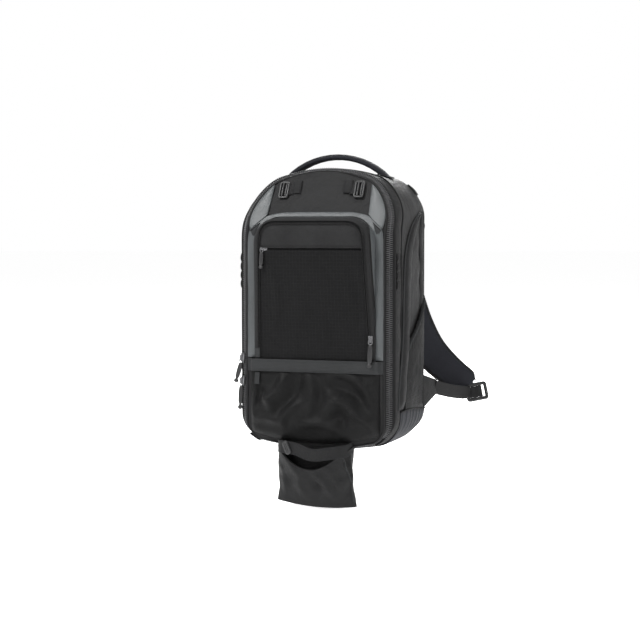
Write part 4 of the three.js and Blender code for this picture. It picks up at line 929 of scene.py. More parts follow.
def make_front_pocket():
    """Domed face over its gusset, ripstop under the slit and plain padded cloth above."""
    s = np.linspace(-1, 1, 151)
    share = np.sign(s) * (1 - (1 - np.abs(s)) ** 1.7)
    z = np.concatenate([np.linspace(POCKET_LOW, 344, 80), np.linspace(344, 364, 34)[1:],
                        POCKET_TOP - 45.0 * (1 - np.linspace(0, 1, 50)[1:]) ** 1.6])
    low = POCKET_TOP - POCKET_CORNER
    arc = np.sqrt(np.clip(POCKET_CORNER ** 2 - (z - low) ** 2, 0, None))
    outer = np.where(z > low, POCKET_HALF - POCKET_CORNER + arc, POCKET_HALF)
    x = outer[:, None] * share[None, :]
    z = z[:, None] + 0 * x
    obj = skin("front_pocket_cloth", xyz(x, pocket_y(x, z), z), facing=(0, -1, 0), thick=1.5)
    place(obj, "ripstop", "front_pocket")
    obj.data.materials.append(finish_of("body"))
    obj.data.materials.append(finish_of("coated"))
    centre = face_centres(obj)
    inset = pocket_inset(centre[:, 0], centre[:, 2])
    wall = wall_wide(centre[:, 2])
    finish = ((centre[:, 2] > POCKET_ZIP_Z) | (inset < wall)).astype(np.int32)
    finish = np.where(inset < np.maximum(wall - 8.0, 1.0), 2, finish)
    obj.data.polygons.foreach_set("material_index", finish.astype(np.int32))


# Height where the arched zip, its cords and the arch frame start
ARCH_FOOT = 161.0


def make_pocket_zips():
    """Arched zip in the gusset, with its tape and stitches, and the slit's zip with its flap."""
    x, z = arch_line(2.3, ARCH_FOOT)
    path, up = on_pocket(x, z, 0.3)
    cord("arch_zip_tape", path, (5.2, 0.5, 8, 0.5), up, "webbing")
    x, z = arch_line(-0.9, ARCH_FOOT)
    path, up = on_pocket(x, z, 0.3)
    place(zip_teeth("arch_zip_teeth", path + up * 0.4, up, 2.6, 2.4, 1.4), "slack")
    x, z = arch_line(8.0, ARCH_FOOT)
    path, up = on_pocket(x, z, 0.4)
    cord("gusset_edge_cord", path, (1.0, 1.0, 8), up, "webbing")
    x, z = arch_line(-4.6, ARCH_FOOT - 1.0)
    path, up = on_pocket(x, z, 0.5)
    cord("pocket_cord", path, (1.2, 1.2, 8), up, "slack")
    x, z = arch_line(-7.6, ARCH_FOOT - 1.0, 3.0)
    path, up = on_pocket(x, z, 0.0)
    sewn("pocket_stitches", path, up, "webbing")
    x = np.linspace(-94, 94, 60)
    z = np.full(60, POCKET_ZIP_Z)
    path, up = on_pocket(x, z, 0.1)
    place(zip_teeth("pocket_zip_teeth", path, up, 2.2, 1.7, 1.0), "slack", "pocket_zip")
    cord("pocket_zip_tape", path, (2.6, 0.4, 8, 0.6), up, "slack")
    path, up = on_pocket(x, z + 2.6, 0.5)
    cord("pocket_zip_flap", path, (1.3, 0.8, 8), up, "body")
    for name, shift in (("slit_stitches_upper", 5.6), ("slit_stitches_lower", -4.2)):
        path, up = on_pocket(x, z + shift, 0.0)
        sewn(name, path, up, "webbing")


def lower_y(x, z, share):
    """Lower pocket's surface: panel plane plus rise, pulled in at its edges, with broad folds."""
    rise = column(LOWER_ROWS, share, 1)
    full = column(LOWER_ROWS, share, 2)
    side = np.clip((LOWER_HALF - np.abs(x)) / 12.0, 0, 1)
    foot = np.clip(share / 0.1, 0, 1)
    profile = (1 - (1 - side) ** 2.2) ** 0.8 * (1 - (1 - foot) ** 2.2) ** 0.8
    inner = np.clip((LOWER_HALF - np.abs(x)) / 16.0, 0, 1) * np.clip(share / 0.15, 0, 1)
    inner = inner * (1 - blend01(share, 0.86, 1.0))
    relief = (folds(x, z, LOWER_FOLDS) + ripple(x, z, 21, 55.0, 1.0)) * inner
    face = LOWER_DEPTH * rise + POCKET_FULL * full * (1 - (x / LOWER_HALF) ** 2) - 2.0 * inner
    full = LOWER_LEAST + soft_over(face + relief - LOWER_LEAST, 2.0)
    return FRONT_Y - SEAT + lean(z) * (1 - profile) - full * profile


# Height where the lower pocket starts
LOWER_FOOT = 28.0


def make_lower_pocket():
    """Slack pocket under the band, with folds that run down to its outer corners."""
    s = np.linspace(-1, 1, 141)
    x = LOWER_HALF * np.sign(s) * (1 - (1 - np.abs(s)) ** 1.5)[None, :]
    share = (np.linspace(0, 1, 90) ** 1.3)[:, None]
    x = x + 0 * share
    z = LOWER_FOOT + (LOWER_TOP - LOWER_FOOT) * share
    z = z - SAG * (1 - (x / LOWER_HALF) ** 2) * (1 - share) ** 3
    y = lower_y(x, z, share + 0 * x)
    obj = skin("lower_pocket_cloth", xyz(x, y, z), facing=(0, -1, 0), thick=1.5)
    place(obj, "slack", "lower_pocket")


def panel_strip(name, inner, outer, thick, puff, slot, *nodes, count=90, across=10):
    """Flat cloth piece on the panel between two smooth lines, with a slight crown across."""
    a = spline([(x, 0.0, z) for x, z in inner], count)
    b = spline([(x, 0.0, z) for x, z in outer], count)
    u = np.linspace(0, 1, across)[None, :, None]
    grid = a[:, None] + (b - a)[:, None] * u
    x, z = grid[..., 0], grid[..., 2]
    crown = puff * hump(np.clip(u[..., 0], 0.0, 1.0)) + ripple(x, z, 31, 42.0, 0.6)
    y = FRONT_Y + lean(z) - SEAT - thick - crown
    obj = skin(name, xyz(x, y, z), facing=(0, -1, 0), thick=thick)
    place(obj, slot, *nodes)
    edges = []
    for share in (0.12, 0.88):
        line = a + (b - a) * share
        y = FRONT_Y + lean(line[:, 2]) - SEAT - thick - puff * math.sin(math.pi * share)
        edges.append(xyz(line[:, 0], y, line[:, 2]))
    return edges


def mirrored(line):
    """Line from its left foot over the top to its right foot, from the right half."""
    left = [(-x, z) for x, z in line]
    return left + [(0.0, line[-1][1])] + list(line[::-1])


def make_arch_frame():
    """Coated band round the front pocket, an upside-down U between two lines."""
    gap, corner, low = POCKET_HALF - 1.5, POCKET_CORNER, POCKET_TOP - POCKET_CORNER
    arc = [(gap - corner + (corner - 0.9) * math.cos(a), low + (corner - 0.9) * math.sin(a))
           for a in np.radians([14, 29, 45, 60, 75])]
    inner = [(gap, ARCH_FOOT), (gap, 260.0), (gap, low - 10), *arc,
             (gap - corner, POCKET_TOP - 0.9), (40.0, POCKET_TOP - 0.9)]
    outer = [(126.4, ARCH_FOOT), (126.4, 260.0), (126.0, low - 10), (125.4, 374.0), (122.6, 386.0),
             (113.0, 397.0), (104.0, 405.0), (93.0, 411.5), (66.6, 417.0), (40.0, 417.6)]
    edges = panel_strip("arch_frame_cloth", mirrored(inner), mirrored(outer), 1.5, 0.9, "coated",
                        "arch_frame", count=220)
    for k, line in enumerate(edges):
        sewn(f"arch_frame_stitches_{k}", resample(line, 3.0), (0, -1, 0), "coated")


DART_CORNERS = np.array([[104.1, 399.8], [121.6, 385.4], [114.8, 372.6]])


def make_darts():
    """Three-cornered dart let into the arch frame under each wing: a thin plate in the darker band
    cloth, whose darkness is painted shade of the dart's sunk facet, and a cord along its seam.
    """
    a, b, c = DART_CORNERS
    for hand, s in HANDS:
        u = np.linspace(0, 1, 18)[:, None, None]
        v = np.linspace(0, 1, 14)[None, :, None]
        flat = a + (b - a) * u + (c - b) * u * v
        x, z = flat[..., 0], flat[..., 1]
        puff = 0.9 * (hump(np.clip(u, 0.06, 0.94)) * hump(v))[..., 0]
        y = FRONT_Y + lean(z) - SEAT - 2.1 - puff
        front = xyz(s * x, y, z)
        # Band cloth, darker than the coated frame: painted shade of the sunk dart.
        slab(f"arch_dart_{hand}", front, front + np.array([0, 1.4, 0]), "band")
        seam = np.array([s, 1.0, 1.0]) * xyz(x[:, 0], FRONT_Y + lean(z[:, 0]) - 3.0, z[:, 0])
        cord(f"arch_dart_seam_{hand}", seam[1:], (0.8, 0.8, 8), (0, -1, 0), "webbing")


# Where a wing's inner edge starts
WING_X, WING_Z = 94.1, 413.2


def make_wings():
    """Coated wings on the lid's shoulders, each between the arch frame and the zip's edge."""
    half, top, shoulder = PANEL_HALF - 1.0, PANEL_TOP, PANEL_SHOULDER
    for hand, s in HANDS:
        a = np.radians([9, 28, 46, 60, 72])
        x = half - shoulder + shoulder * np.cos(a)
        z = bent(x, top - shoulder + shoulder * np.sin(a), half, top, PANEL_BASE, CROWN)
        outer = [(half - 3.4, 388.0), (half - 0.6, 397.0), *zip(x, z)]
        tip = outer[-1]
        share = np.linspace(0, 1, len(outer))
        inner = [(WING_X + (tip[0] - 4 - WING_X) * t, WING_Z + (tip[1] + 1.5 - WING_Z) * t)
                 for t in share]
        lines = [[(s * x, z) for x, z in line] for line in (inner, outer)]
        edges = panel_strip(f"wing_cloth_{hand}", *lines, 1.5, 1.6, "coated", f"wing_{hand}",
                            count=60, across=16)
        for k, line in enumerate(edges):
            sewn(f"wing_stitches_{hand}_{k}", resample(line, 3.0), (0, -1, 0), "coated")


def make_cross_band():
    """Webbing across the front, lifted over the pockets' edges, with a row of stitches along each edge.
    """
    x = np.linspace(-BAND_HALF, BAND_HALF, 160)[None, :]
    v = v_steps(8)
    z = BAND_LOW + (BAND_HIGH - BAND_LOW) * v + 0 * x
    lift = BAND_LIFT * (1 - blend01(np.abs(x), 0.92 * BAND_HALF, 0.965 * BAND_HALF)) + 0 * v
    wobble = ripple(x, z, 41, 70.0, 0.4)
    y = FRONT_Y - SEAT - lift - wobble * (lift > 1) - 0.25 * hump(v)
    front = xyz(x + 0 * v, y - 1.2, z)
    back = xyz(x + 0 * v, y, z)
    slab("cross_band_webbing", front, back, "band", "cross_band")
    for k, row in ((0, 1), (1, -2)):
        line = resample(front[row] - np.array([0, 0.05, 0]), 3.0)
        sewn(f"cross_band_stitches_{k}", line, (0, -1, 0), "band")


# Grab handle: half its span, heights of its feet and top, its depth and its ends' tuck
HANDLE_HALF, HANDLE_FOOT, HANDLE_TOP, HANDLE_Y, HANDLE_TUCK = 97.0, 477.5, 518.0, 25.0, 5.0


def handle_path():
    """Circular arc of the grab handle from foot to foot, and its outward normals."""
    rise = HANDLE_TOP - HANDLE_FOOT
    radius = (HANDLE_HALF ** 2 + rise ** 2) / (2 * rise)
    reach = math.asin(HANDLE_HALF / radius) + HANDLE_TUCK / radius
    a = np.linspace(-reach, reach, 96)
    out = xyz(np.sin(a), 0 * a, np.cos(a))
    return np.array([0.0, HANDLE_Y, HANDLE_TOP - radius]) + out * radius, out


def make_handle():
    """Padded grab handle: a flat rounded section along the arc, slimmer at its feet."""
    path, out = handle_path()
    s = np.linspace(-1, 1, len(path))
    wide = 1.0 - 0.16 * blend01(np.abs(s), 0.72, 0.9) + 0.012 * np.sin(s * 60)
    tall = 1.0 - 0.18 * blend01(np.abs(s), 0.78, 0.98) + 0.02 * np.sin(s * 47 + 1)
    obj = sweep("grab_handle_pad", path, round_section(12.6, 5.3, 28, 0.72), out,
                scale=np.stack([wide, tall], axis=1))
    place(obj, "strap", "grab_handle", fill=0.7)
    _, side, up = frames(path, out)
    for k, shift in enumerate((-11.2, 11.2)):
        line = path + side * shift * wide[:, None] + up * 2.6
        cord(f"handle_edge_{k}", line[4:-4], (0.9, 0.9, 8), out[4:-4], "webbing")
        row = resample(path + side * shift * 0.72 + up * 4.4 * tall[:, None], 3.0)
        sewn(f"handle_stitches_{k}", row, (0, 0, 1), "webbing", lift=0.1)


# Handle's sewn feet: middle, width, depth, and a box of stitches with a diagonal, in shares
FOOT_X, FOOT_WIDE, FOOT_DEEP = 91.0, 24.0, 26.0
FOOT_BOX = np.array([
    [0.12, 0.12], [0.88, 0.12], [0.88, 0.88], [0.12, 0.88], [0.12, 0.12], [0.88, 0.88]])


def make_handle_feet():
    """Sewn feet of the handle: webbing patches on the body's top with box stitching."""
    ring = body_grid(0.5)[0]
    upper = ring[ring[:, 2] > 380]
    upper_x, _, upper_z = upper[np.argsort(upper[:, 0])].T
    for hand, s in HANDS:
        x = (FOOT_X + FOOT_WIDE * (np.linspace(0, 1, 14) - 0.5))[None, :]
        y = (HANDLE_Y + FOOT_DEEP * (np.linspace(0, 1, 12) - 0.5))[:, None] + 0 * x
        z = np.interp(x, upper_x, upper_z) + 0 * y
        n = np.array([0.5 * s, 0.0, 0.86])
        base = xyz(s * x + 0 * y, y, z + 0.8)
        slab(f"handle_foot_{hand}", base + n * 2.4, base, "webbing", f"handle_anchor_{hand}")
        x = FOOT_X + FOOT_WIDE * (FOOT_BOX[:, 0] - 0.5)
        y = HANDLE_Y + FOOT_DEEP * (FOOT_BOX[:, 1] - 0.5)
        line = xyz(s * x, y, np.interp(x, upper_x, upper_z) + 3.2)
        sewn(f"handle_foot_stitches_{hand}", resample(line, 2.0), n, "strap", long=2.4, gap=0.8)


def frame_loop(centre, right, up, wide, tall, corner, count=10):
    """Rounded rectangle as a closed path in a plane."""
    a = np.linspace(0, math.pi / 2, count)
    x, z = wide / 2 - corner + corner * np.cos(a), tall / 2 - corner + corner * np.sin(a)
    quarter = np.stack([x, z], axis=1)
    turns = []
    for k, (sx, sz) in enumerate(((1, 1), (-1, 1), (-1, -1), (1, -1))):
        part = quarter * np.array([sx, sz])
        turns.append(part if k % 2 == 0 else part[::-1])
    flat = np.concatenate(turns)
    return np.asarray(centre) + flat[:, :1] * np.asarray(right) + flat[:, 1:] * np.asarray(up)


def ladder(name, centre, right, up, wide, tall, thick, slot, *nodes, bars=(0.0,), rim=2.0):
    """Ladder buckle: a rounded frame with cross bars, joined into one piece."""
    right, up = unit(np.asarray(right, float)), unit(np.asarray(up, float))
    face = np.cross(right, up)
    path = frame_loop(centre, right, up, wide - 2 * rim, tall - 2 * rim, 3.0)
    pieces = [sweep(name, path, round_section(rim, thick / 2, 12, 0.6), face, closed=True)]
    for k, at in enumerate(bars):
        middle = np.asarray(centre) + up * at * tall
        ends = np.linspace(-0.5, 0.5, 8)[:, None] * (wide - 2 * rim) * right + middle
        section = round_section(rim * 0.85, thick * 0.42, 12, 0.7)
        pieces.append(sweep(f"{name}_bar{k}", ends, section, face))
    return join_pieces(pieces, slot, *nodes)


def join_pieces(pieces, slot, *nodes):
    """Joins mesh objects into the first one and places it."""
    first = pieces[0]
    work = bmesh.new()
    for obj in pieces:
        work.from_mesh(obj.data)
    work.to_mesh(first.data)
    work.free()
    for obj in pieces[1:]:
        mesh = obj.data
        bpy.data.objects.remove(obj)
        bpy.data.meshes.remove(mesh)
    return place(first, slot, *nodes)


# Accessory loops: middles of the tab, the strap and the buckle across, and their height
TAB_X, LOOP_X, BUCKLE_X, LOOP_Z = 48.0, 62.0, 70.5, 457.5


def make_accessories():
    """Webbing tabs on the lid, each with a small ladder buckle and its loop."""
    for hand, s in HANDS:
        u = np.linspace(-0.5, 0.5, 10)[None, :]
        v = v_steps(14)
        z = 451.0 + 23.0 * v + 0 * u
        x = s * TAB_X + 16.0 * u + 0 * v
        y = FRONT_Y + lean(z) - 0.6
        back = xyz(x, y, z)
        front = back - np.array([0, 1.8, 0]) - np.array([0, 1.0, 0]) * hump(v)[..., None]
        slab(f"accessory_tab_webbing_{hand}", front, back, "webbing", f"accessory_tab_{hand}")
        across = np.array([1.0, 0.0, 0.0])
        up = unit(np.array([0.0, LEAN_SLOPE, 1.0]))
        centre = np.array([s * BUCKLE_X, FRONT_Y + float(lean(np.float64(LOOP_Z))) - 4.4, LOOP_Z])
        ladder(f"accessory_buckle_frame_{hand}", centre, up, across, 34.0, 19.0, 3.6, "plastic",
               f"accessory_buckle_{hand}", bars=(-0.14, 0.2), rim=1.9)
        v = np.linspace(-0.5, 0.5, 16)[:, None]
        z = LOOP_Z + 17.0 * np.linspace(-0.5, 0.5, 8)[None, :] + 0 * v
        x = s * LOOP_X + 20.0 * v + 0 * z
        y = FRONT_Y + lean(z) - 0.9 - 2.2 * np.cos(math.pi * v) ** 2
        back = xyz(x, y, z)
        slab(f"accessory_strap_{hand}", back - np.array([0, 1.3, 0]), back, "webbing")
        z = np.linspace(454, 471, 12)
        line = resample(xyz(s * TAB_X + 0 * z, FRONT_Y + lean(z) - 3.6, z), 2.0)
        for k, shift in enumerate((-5.6, 5.6)):
            row = line + np.array([shift, 0, 0])
            sewn(f"accessory_stitches_{hand}_{k}", row, (0, -1, 0), "strap")


STRAP_POINTS = np.array([
    [52.0, 108.0, 438.0], [60.0, 119.0, 395.0], [74.0, 138.0, 335.1], [88.1, 162.0, 270.0],
    [101.9, 190.0, 206.0], [124.0, 211.0, 154.2], [157.0, 222.0, 119.2], [198.0, 228.0, 88.0],
])


# Shoulder straps: full width, half thickness and the turn of their faces outwards
STRAP_WIDE, STRAP_THICK, STRAP_TURN = 62.0, 4.6, math.radians(20.0)


def strap_frames(s, steps=120):
    """Shoulder strap's centre line, face normals and width at equal parameter."""
    path = spline(STRAP_POINTS, steps) * np.array([s, 1.0, 1.0])
    t = np.linspace(0, 1, steps + 1)
    turn = STRAP_TURN * blend01(t, 0.1, 0.7)
    normal = xyz(s * np.sin(turn), -np.cos(turn), 0 * turn)
    width = STRAP_WIDE - 8.0 * blend01(t, 0.7, 0.96) - 14.0 * blend01(t, 0.95, 1.0) ** 2
    return path, normal, width, t


def plump(obj, voxel, pressure, cap):
    """Cloth simulation that swells a closed piece: remeshed evenly, blown up from inside with
    no gravity, each point held within a cap of where it was, then smoothed once."""
    scene = bpy.context.scene
    remesh = obj.modifiers.new("Even", "REMESH")
    remesh.mode = "VOXEL"
    remesh.voxel_size = voxel
    remesh.use_smooth_shade = True
    bake_modifiers(obj)
    start = points_of(obj.data)
    blow = obj.modifiers.new("Blow", "CLOTH")
    blow.settings.use_pressure = True
    blow.settings.uniform_pressure_force = pressure
    blow.settings.effector_weights.gravity = 0.0
    blow.settings.tension_stiffness = 40.0
    blow.settings.compression_stiffness = 12.0
    blow.settings.bending_stiffness = 0.6
    blow.settings.quality = 4
    blow.point_cache.frame_start = 1
    blow.point_cache.frame_end = 20
    for step in range(1, 21):
        scene.frame_set(step)
    bake_modifiers(obj)
    scene.frame_set(1)
    end = points_of(obj.data)
    move = end - start
    far = np.linalg.norm(move, axis=1, keepdims=True)
    end = start + move * np.minimum(1.0, cap / np.maximum(far, 1e-9))
    obj.data.vertices.foreach_set("co", end.astype(np.float32).ravel())
    round_off = obj.modifiers.new("Round", "SUBSURF")
    round_off.levels = 1
    round_off.render_levels = 1
    bake_modifiers(obj)
    obj.data.polygons.foreach_set("use_smooth", np.ones(len(obj.data.polygons), bool))


def points_of(mesh):
    """A mesh's points as an array."""
    points = np.empty(len(mesh.vertices) * 3, np.float32)
    mesh.vertices.foreach_get("co", points)
    return points.reshape(-1, 3).astype(float)


def bake_modifiers(obj):
    """Replaces the mesh with the result of its modifiers."""
    graph = bpy.context.evaluated_depsgraph_get()
    graph.update()
    made = bpy.data.meshes.new_from_object(obj.evaluated_get(graph))
    was = obj.data
    obj.modifiers.clear()
    obj.data = made
    made.name = obj.name
    bpy.data.meshes.remove(was)


def flat_uv(obj, u_axis, v_axis):
    """UV map in metres along two directions, for a piece that was remeshed."""
    mesh = obj.data
    layer = mesh.uv_layers.get("Cloth") or mesh.uv_layers.new(name="Cloth")
    corner = np.empty(len(mesh.loops), np.int32)
    mesh.loops.foreach_get("vertex_index", corner)
    p = points_of(mesh)[corner]
    uv = np.stack([p @ np.asarray(u_axis, float), p @ np.asarray(v_axis, float)], axis=1)
    layer.data.foreach_set("uv", uv.astype(np.float32).ravel())


def make_straps():
    """Padded shoulder straps: a flat rounded section along the route, blown up a little,
    with a bound edge and a row of stitches on each side."""
    for hand, s in HANDS:
        path, normal, width, t = strap_frames(s)
        wide = width / STRAP_WIDE
        wave_y = 1.0 + 0.03 * np.sin(t * 41.0) + 0.02 * np.sin(t * 97.0 + 1.0)
        tall = (1.0 - 0.35 * blend01(t, 0.86, 1.0)) * wave_y
        section = round_section(STRAP_WIDE / 2, STRAP_THICK, 36, 0.62)
        obj = sweep(f"shoulder_strap_pad_{hand}", path, section, normal,
                    scale=np.stack([wide, tall], axis=1))
        plump(obj, 0.0042, 3.0, 0.0014)
        flat_uv(obj, (0.8 * s, 0.5, -0.3), (0.1, 0.3, 0.95))
        place(obj, "strap", f"shoulder_strap_{hand}", fill=0.7)
        _, side, up = frames(path, normal)
        for k, hand_side in enumerate((-1.0, 1.0)):
            out = hand_side * (width / 2.0 - 1.8 - 2.4 * blend01(t, 0.94, 1.0))
            edge = path + side * out[:, None]
            taper = 1.0 - 0.6 * blend01(t, 0.95, 1.0)
            cord(f"strap_binding_{hand}_{k}", edge[1:], (2.6, 3.7, 12, 0.8), normal[1:], "webbing",
                 scale=taper[1:])
            row = path + side * (hand_side * (width / 2.0 - 6.5))[:, None]
            for face, sign in (("front", 1.0), ("back", -1.0)):
                line = resample(row + up * sign * (5.1 * tall)[:, None], 3.0)
                sewn(f"strap_stitches_{hand}_{k}_{face}", line[2:-2], normal[60] * sign, "webbing",
                     lift=0.2)


# Strap wings: their root on the body and their tip as x and y
WING_ROOT, WING_TIP = np.array([136.0, 87.8]), np.array([155.0, 137.0])
# Webbing's way through the strap's ladder buckle, across it and off its face
LOCK_LOOP = np.array([
    [-14.0, 2.2], [-9.0, 3.6], [-2.0, 3.0], [3.0, 3.8], [8.0, 2.6], [9.5, -0.6], [6.0, -3.6],
    [-2.0, -4.2], [-13.0, -3.6]])


def make_strap_ends():
    """Wing at the back's edge, webbing from its tip to the ladder buckle, and the buckle."""
    for hand, s in HANDS:
        u = u_steps(20)
        v = v_steps(24)
        x, y = (root + (tip - root) * u + 0 * v for root, tip in zip(WING_ROOT, WING_TIP))
        low, high = 52.0 + 31.0 * u, 124.0 - 15.0 * u
        z = low + (high - low) * v
        puff = 2.2 * hump(v) ** 0.6 * hump(np.clip(u, 0.02, 0.98)) ** 0.5 + ripple(y, z, 51, 30.0, 0.4)
        n = unit(np.array([0.93, -0.37, 0.0]))
        mid = xyz(x, y, z)
        front, back = mid + n * (1.2 + puff)[..., None], mid - n * (1.2 + 0.4 * puff)[..., None]
        flip = np.array([s, 1.0, 1.0])
        slab(f"strap_wing_cloth_{hand}", front * flip, back * flip, "body", f"strap_wing_{hand}")
        for k, row in ((0, 1), (1, -2)):
            line = resample((front[row] + n * 0.2) * flip, 3.0)
            sewn(f"strap_wing_stitches_{hand}_{k}", line, n * flip, "webbing")
        last, before = STRAP_POINTS[-1], STRAP_POINTS[-2]
        direction = unit(last - before) * flip
        outer = np.array([s * math.sin(STRAP_TURN), -math.cos(STRAP_TURN), 0.0])
        face = unit(outer - direction * np.sum(outer * direction))
        centre = last * flip + direction * 14.0
        across = unit(np.array([s * 0.96, 0.16, 0.2]))
        face = unit(face - across * np.sum(face * across))
        upright = np.cross(across, face) * -s
        ladder(f"strap_lock_{hand}", centre, upright, across, 35.0, 42.0, 6.5, "plastic",
               f"strap_buckle_{hand}", bars=(-0.14, 0.16), rim=3.4)
        start = np.array([s * 153.2, 129.6, 96.0])
        stop = centre - across * s * 13.0 + face * 2.4
        share = v_steps(40)
        droop = np.array([0, 0, -2.4]) * hump(share)
        path = start + (stop - start) * share + droop + face * 1.4 * np.sin(WAVE * share)
        up = np.broadcast_to(outer, path.shape)
        slim = 1.0 - 0.14 * blend01(share[:, 0], 0.82, 0.98)
        strip = sweep(f"strap_webbing_strip_{hand}", path, round_section(12.5, 1.0, 20, 0.35), up,
                      scale=np.stack([slim, np.ones(40)], axis=1))
        place(strip, "webbing", f"strap_webbing_{hand}")
        curve = spline(centre + LOCK_LOOP[:, :1] * across * s + LOCK_LOOP[:, 1:] * face, 40)
        cord(f"strap_lock_loop_{hand}", curve, (10.6, 0.9, 16, 0.35), face, "webbing")


def side_point(s, y, z, lift=0.0):
    """Point on the body's side, lifted outwards. Above the shoulder's start it follows the
    shoulder's circle, and the lift turns with it."""
    share = np.clip((y - SHELL_FRONT_Y) / (SHELL_BACK_Y - SHELL_FRONT_Y), 0.0, 1.0)
    half, top, radius = (column(BODY_SECTIONS, share, k) for k in (1, 2, 6))
    swell = 3.0 * blend01(z, 90, 200) * (1.0 - blend01(z, 300, 420)) * hump(share)
    sine = np.clip((z - top + radius) / radius, 0.0, 0.98)
    cosine = np.sqrt(1.0 - sine ** 2)
    out = lift + swell
    return xyz(s * (half - radius + (radius + out) * cosine) + 0 * z, y + 0 * z, z + out * sine + 0 * y)


# Side panel's foot, its rear edge's depth and the bottle pocket's front edge's depth
SIDE_LOW, SIDE_REAR, BOTTLE_FRONT_Y = 72.0, 58.0, -45.0
# Side panel's front and rear edges as depth and height
SIDE_FRONT_LINE = np.array([
    [-71.0, 72.0], [-68.5, 104.0], [-64.0, 140.0], [-58.5, 175.0], [-55.0, 215.0], [-52.0, 290.0],
    [-45.5, 340.5], [-34.0, 365.8], [-14.7, 388.0], [6.0, 402.0], [26.0, 411.0], [46.0, 418.0]])
SIDE_REAR_LINE = np.array([
    [58.0, 72.0], [58.0, 110.0], [58.0, 150.0], [58.0, 190.0], [58.0, 234.0], [58.0, 280.0],
    [58.0, 322.0], [58.0, 352.0], [58.0, 378.0], [58.0, 396.0], [58.0, 409.0], [57.0, 419.0]])


def side_lines(count):
    """The side panel's front and rear edges as y and z, at equal shares of their points."""
    front = spline(np.column_stack([SIDE_FRONT_LINE, np.zeros(len(SIDE_FRONT_LINE))]), count)
    rear = spline(np.column_stack([SIDE_REAR_LINE, np.zeros(len(SIDE_REAR_LINE))]), count)
    return front[:, :2], rear[:, :2]


def make_sides():
    """Leaf-shaped side panel: two padded strips that meet at its top, a sunk field between
    them, cord along its seams and a row of stitches."""
    for hand, s in HANDS:
        front, rear = side_lines(150)
        u = u_steps(80)
        y = front[:, :1] + (rear[:, :1] - front[:, :1]) * u
        z = front[:, 1:] + (rear[:, 1:] - front[:, 1:]) * u
        width = rear[:, :1] - front[:, :1]
        strip = np.minimum(28.0, width * 0.36)
        back_strip = np.minimum(22.0, width * 0.3)
        from_front, from_rear = width * u, width * (1 - u)
        ridge = 5.6 * hump(np.clip(from_front / strip, 0, 1)) ** 0.6
        rear_ridge = 3.6 * hump(np.clip(from_rear / back_strip, 0, 1)) ** 0.6 * blend01(z, 150, 250)
        across = np.clip((from_front - strip) / (width - strip - back_strip), 0, 1)
        field = 1.2 * hump(across) * blend01(width, 40, 90)
        bow = ripple(y, z, 61, 46.0, 0.7)
        v = v_steps(151)
        edge = np.clip(np.minimum(u, 1 - u) * 16, 0, 1) * np.clip(np.minimum(v, 1 - v) * 24, 0, 1)
        lift = 0.9 + (ridge + rear_ridge + field + bow) * edge
        grid = side_point(s, y, z, lift)
        obj = skin(f"side_panel_cloth_{hand}", grid, facing=(s, 0, 0), thick=1.2)
        place(obj, "body", f"side_panel_{hand}")
        # The front and rear cords take the lighter grey band webbing: a painted highlight along the
        # piping.
        for name, line, shift, out, radius, slot in (
                ("front", front, -0.4, 1.4, 1.6, "band"),
                ("inner", front, strip[:, 0], 1.2, 1.0, "webbing"),
                ("rear", rear, 0.4, 1.4, 1.5, "band"),
                ("rear_inner", rear, -back_strip[:, 0], 1.2, 1.0, "webbing")):
            path = resample(side_point(s, line[:, 0] + shift, line[:, 1], out), 4.0)
            cord(f"side_cord_{name}_{hand}", path, (radius, radius, 8), (s, 0, 0), slot)
        row = resample(side_point(s, front[:, 0] + 3.6, front[:, 1], 3.6), 3.0)[4:-10]
        sewn(f"side_stitches_{hand}", row, (s, 0, 0), "webbing")


# Bottle pocket's mouth: height at its front, slant and quick rise at the front
MOUTH_LOW, MOUTH_SLANT, MOUTH_RISE = 172.0, 82.0, 10.0


def mouth_z(y):
    """Height of the bottle pocket's slanting mouth at a depth."""
    share = np.clip((y - BOTTLE_FRONT_Y) / (SIDE_REAR - BOTTLE_FRONT_Y), 0, 1)
    return MOUTH_LOW + MOUTH_SLANT * share + MOUTH_RISE * blend01(share, 0.0, 0.15)


def make_bottle_pockets():
    """Stretch pocket on the side panel with an elastic edge along its slanting mouth."""
    for hand, s in HANDS:
        u = u_steps(70)
        v = v_steps(70)
        y = BOTTLE_FRONT_Y + (SIDE_REAR - BOTTLE_FRONT_Y) * u + 0 * v
        top = mouth_z(y)
        z = SIDE_LOW + (top - SIDE_LOW) * v
        bulge = 5.5 * hump(u) ** 0.6 * np.minimum(1, v * 2.2)
        gather = 0.8 * np.sin(y * WAVE / 9.0 + 0.4 * np.sin(z / 11.0)) * blend01(v, 0.75, 1.0)
        gather = gather * hump(u)
        sagging = ripple(y, z, 71, 40.0, 0.8) * hump(u) * hump(np.clip(v, 0, 0.9))
        grid = side_point(s, y, z, 3.4 + bulge + gather + sagging)
        obj = skin(f"bottle_pocket_cloth_{hand}", grid, facing=(s, 0, 0), thick=1.2)
        place(obj, "ripstop", f"bottle_pocket_{hand}")
        rim = resample(grid[-1] + np.array([-0.6 * s, 0, 0]), 3.0)
        cord(f"bottle_pocket_edge_{hand}", rim, (1.4, 3.2, 10, 0.8), (s, 0, 0), "band")
        sewn(f"bottle_stitches_{hand}", rim + np.array([1.6 * s, 0, -2.0]), (s, 0, 0), "webbing")
        for k, column_at in enumerate((0, -1)):
            edge = resample(grid[:, column_at], 3.0)
            cord(f"bottle_seam_{hand}_{k}", edge, (1.1, 1.1, 8), (s, 0, 0), "webbing")


# Gusset webbing: its foot, its length and its two edges' depths
LOOPS_LOW, LOOPS_LONG, LOOPS_FRONT_Y, LOOPS_BACK_Y = 283.0, 62.0, -79.6, -71.5


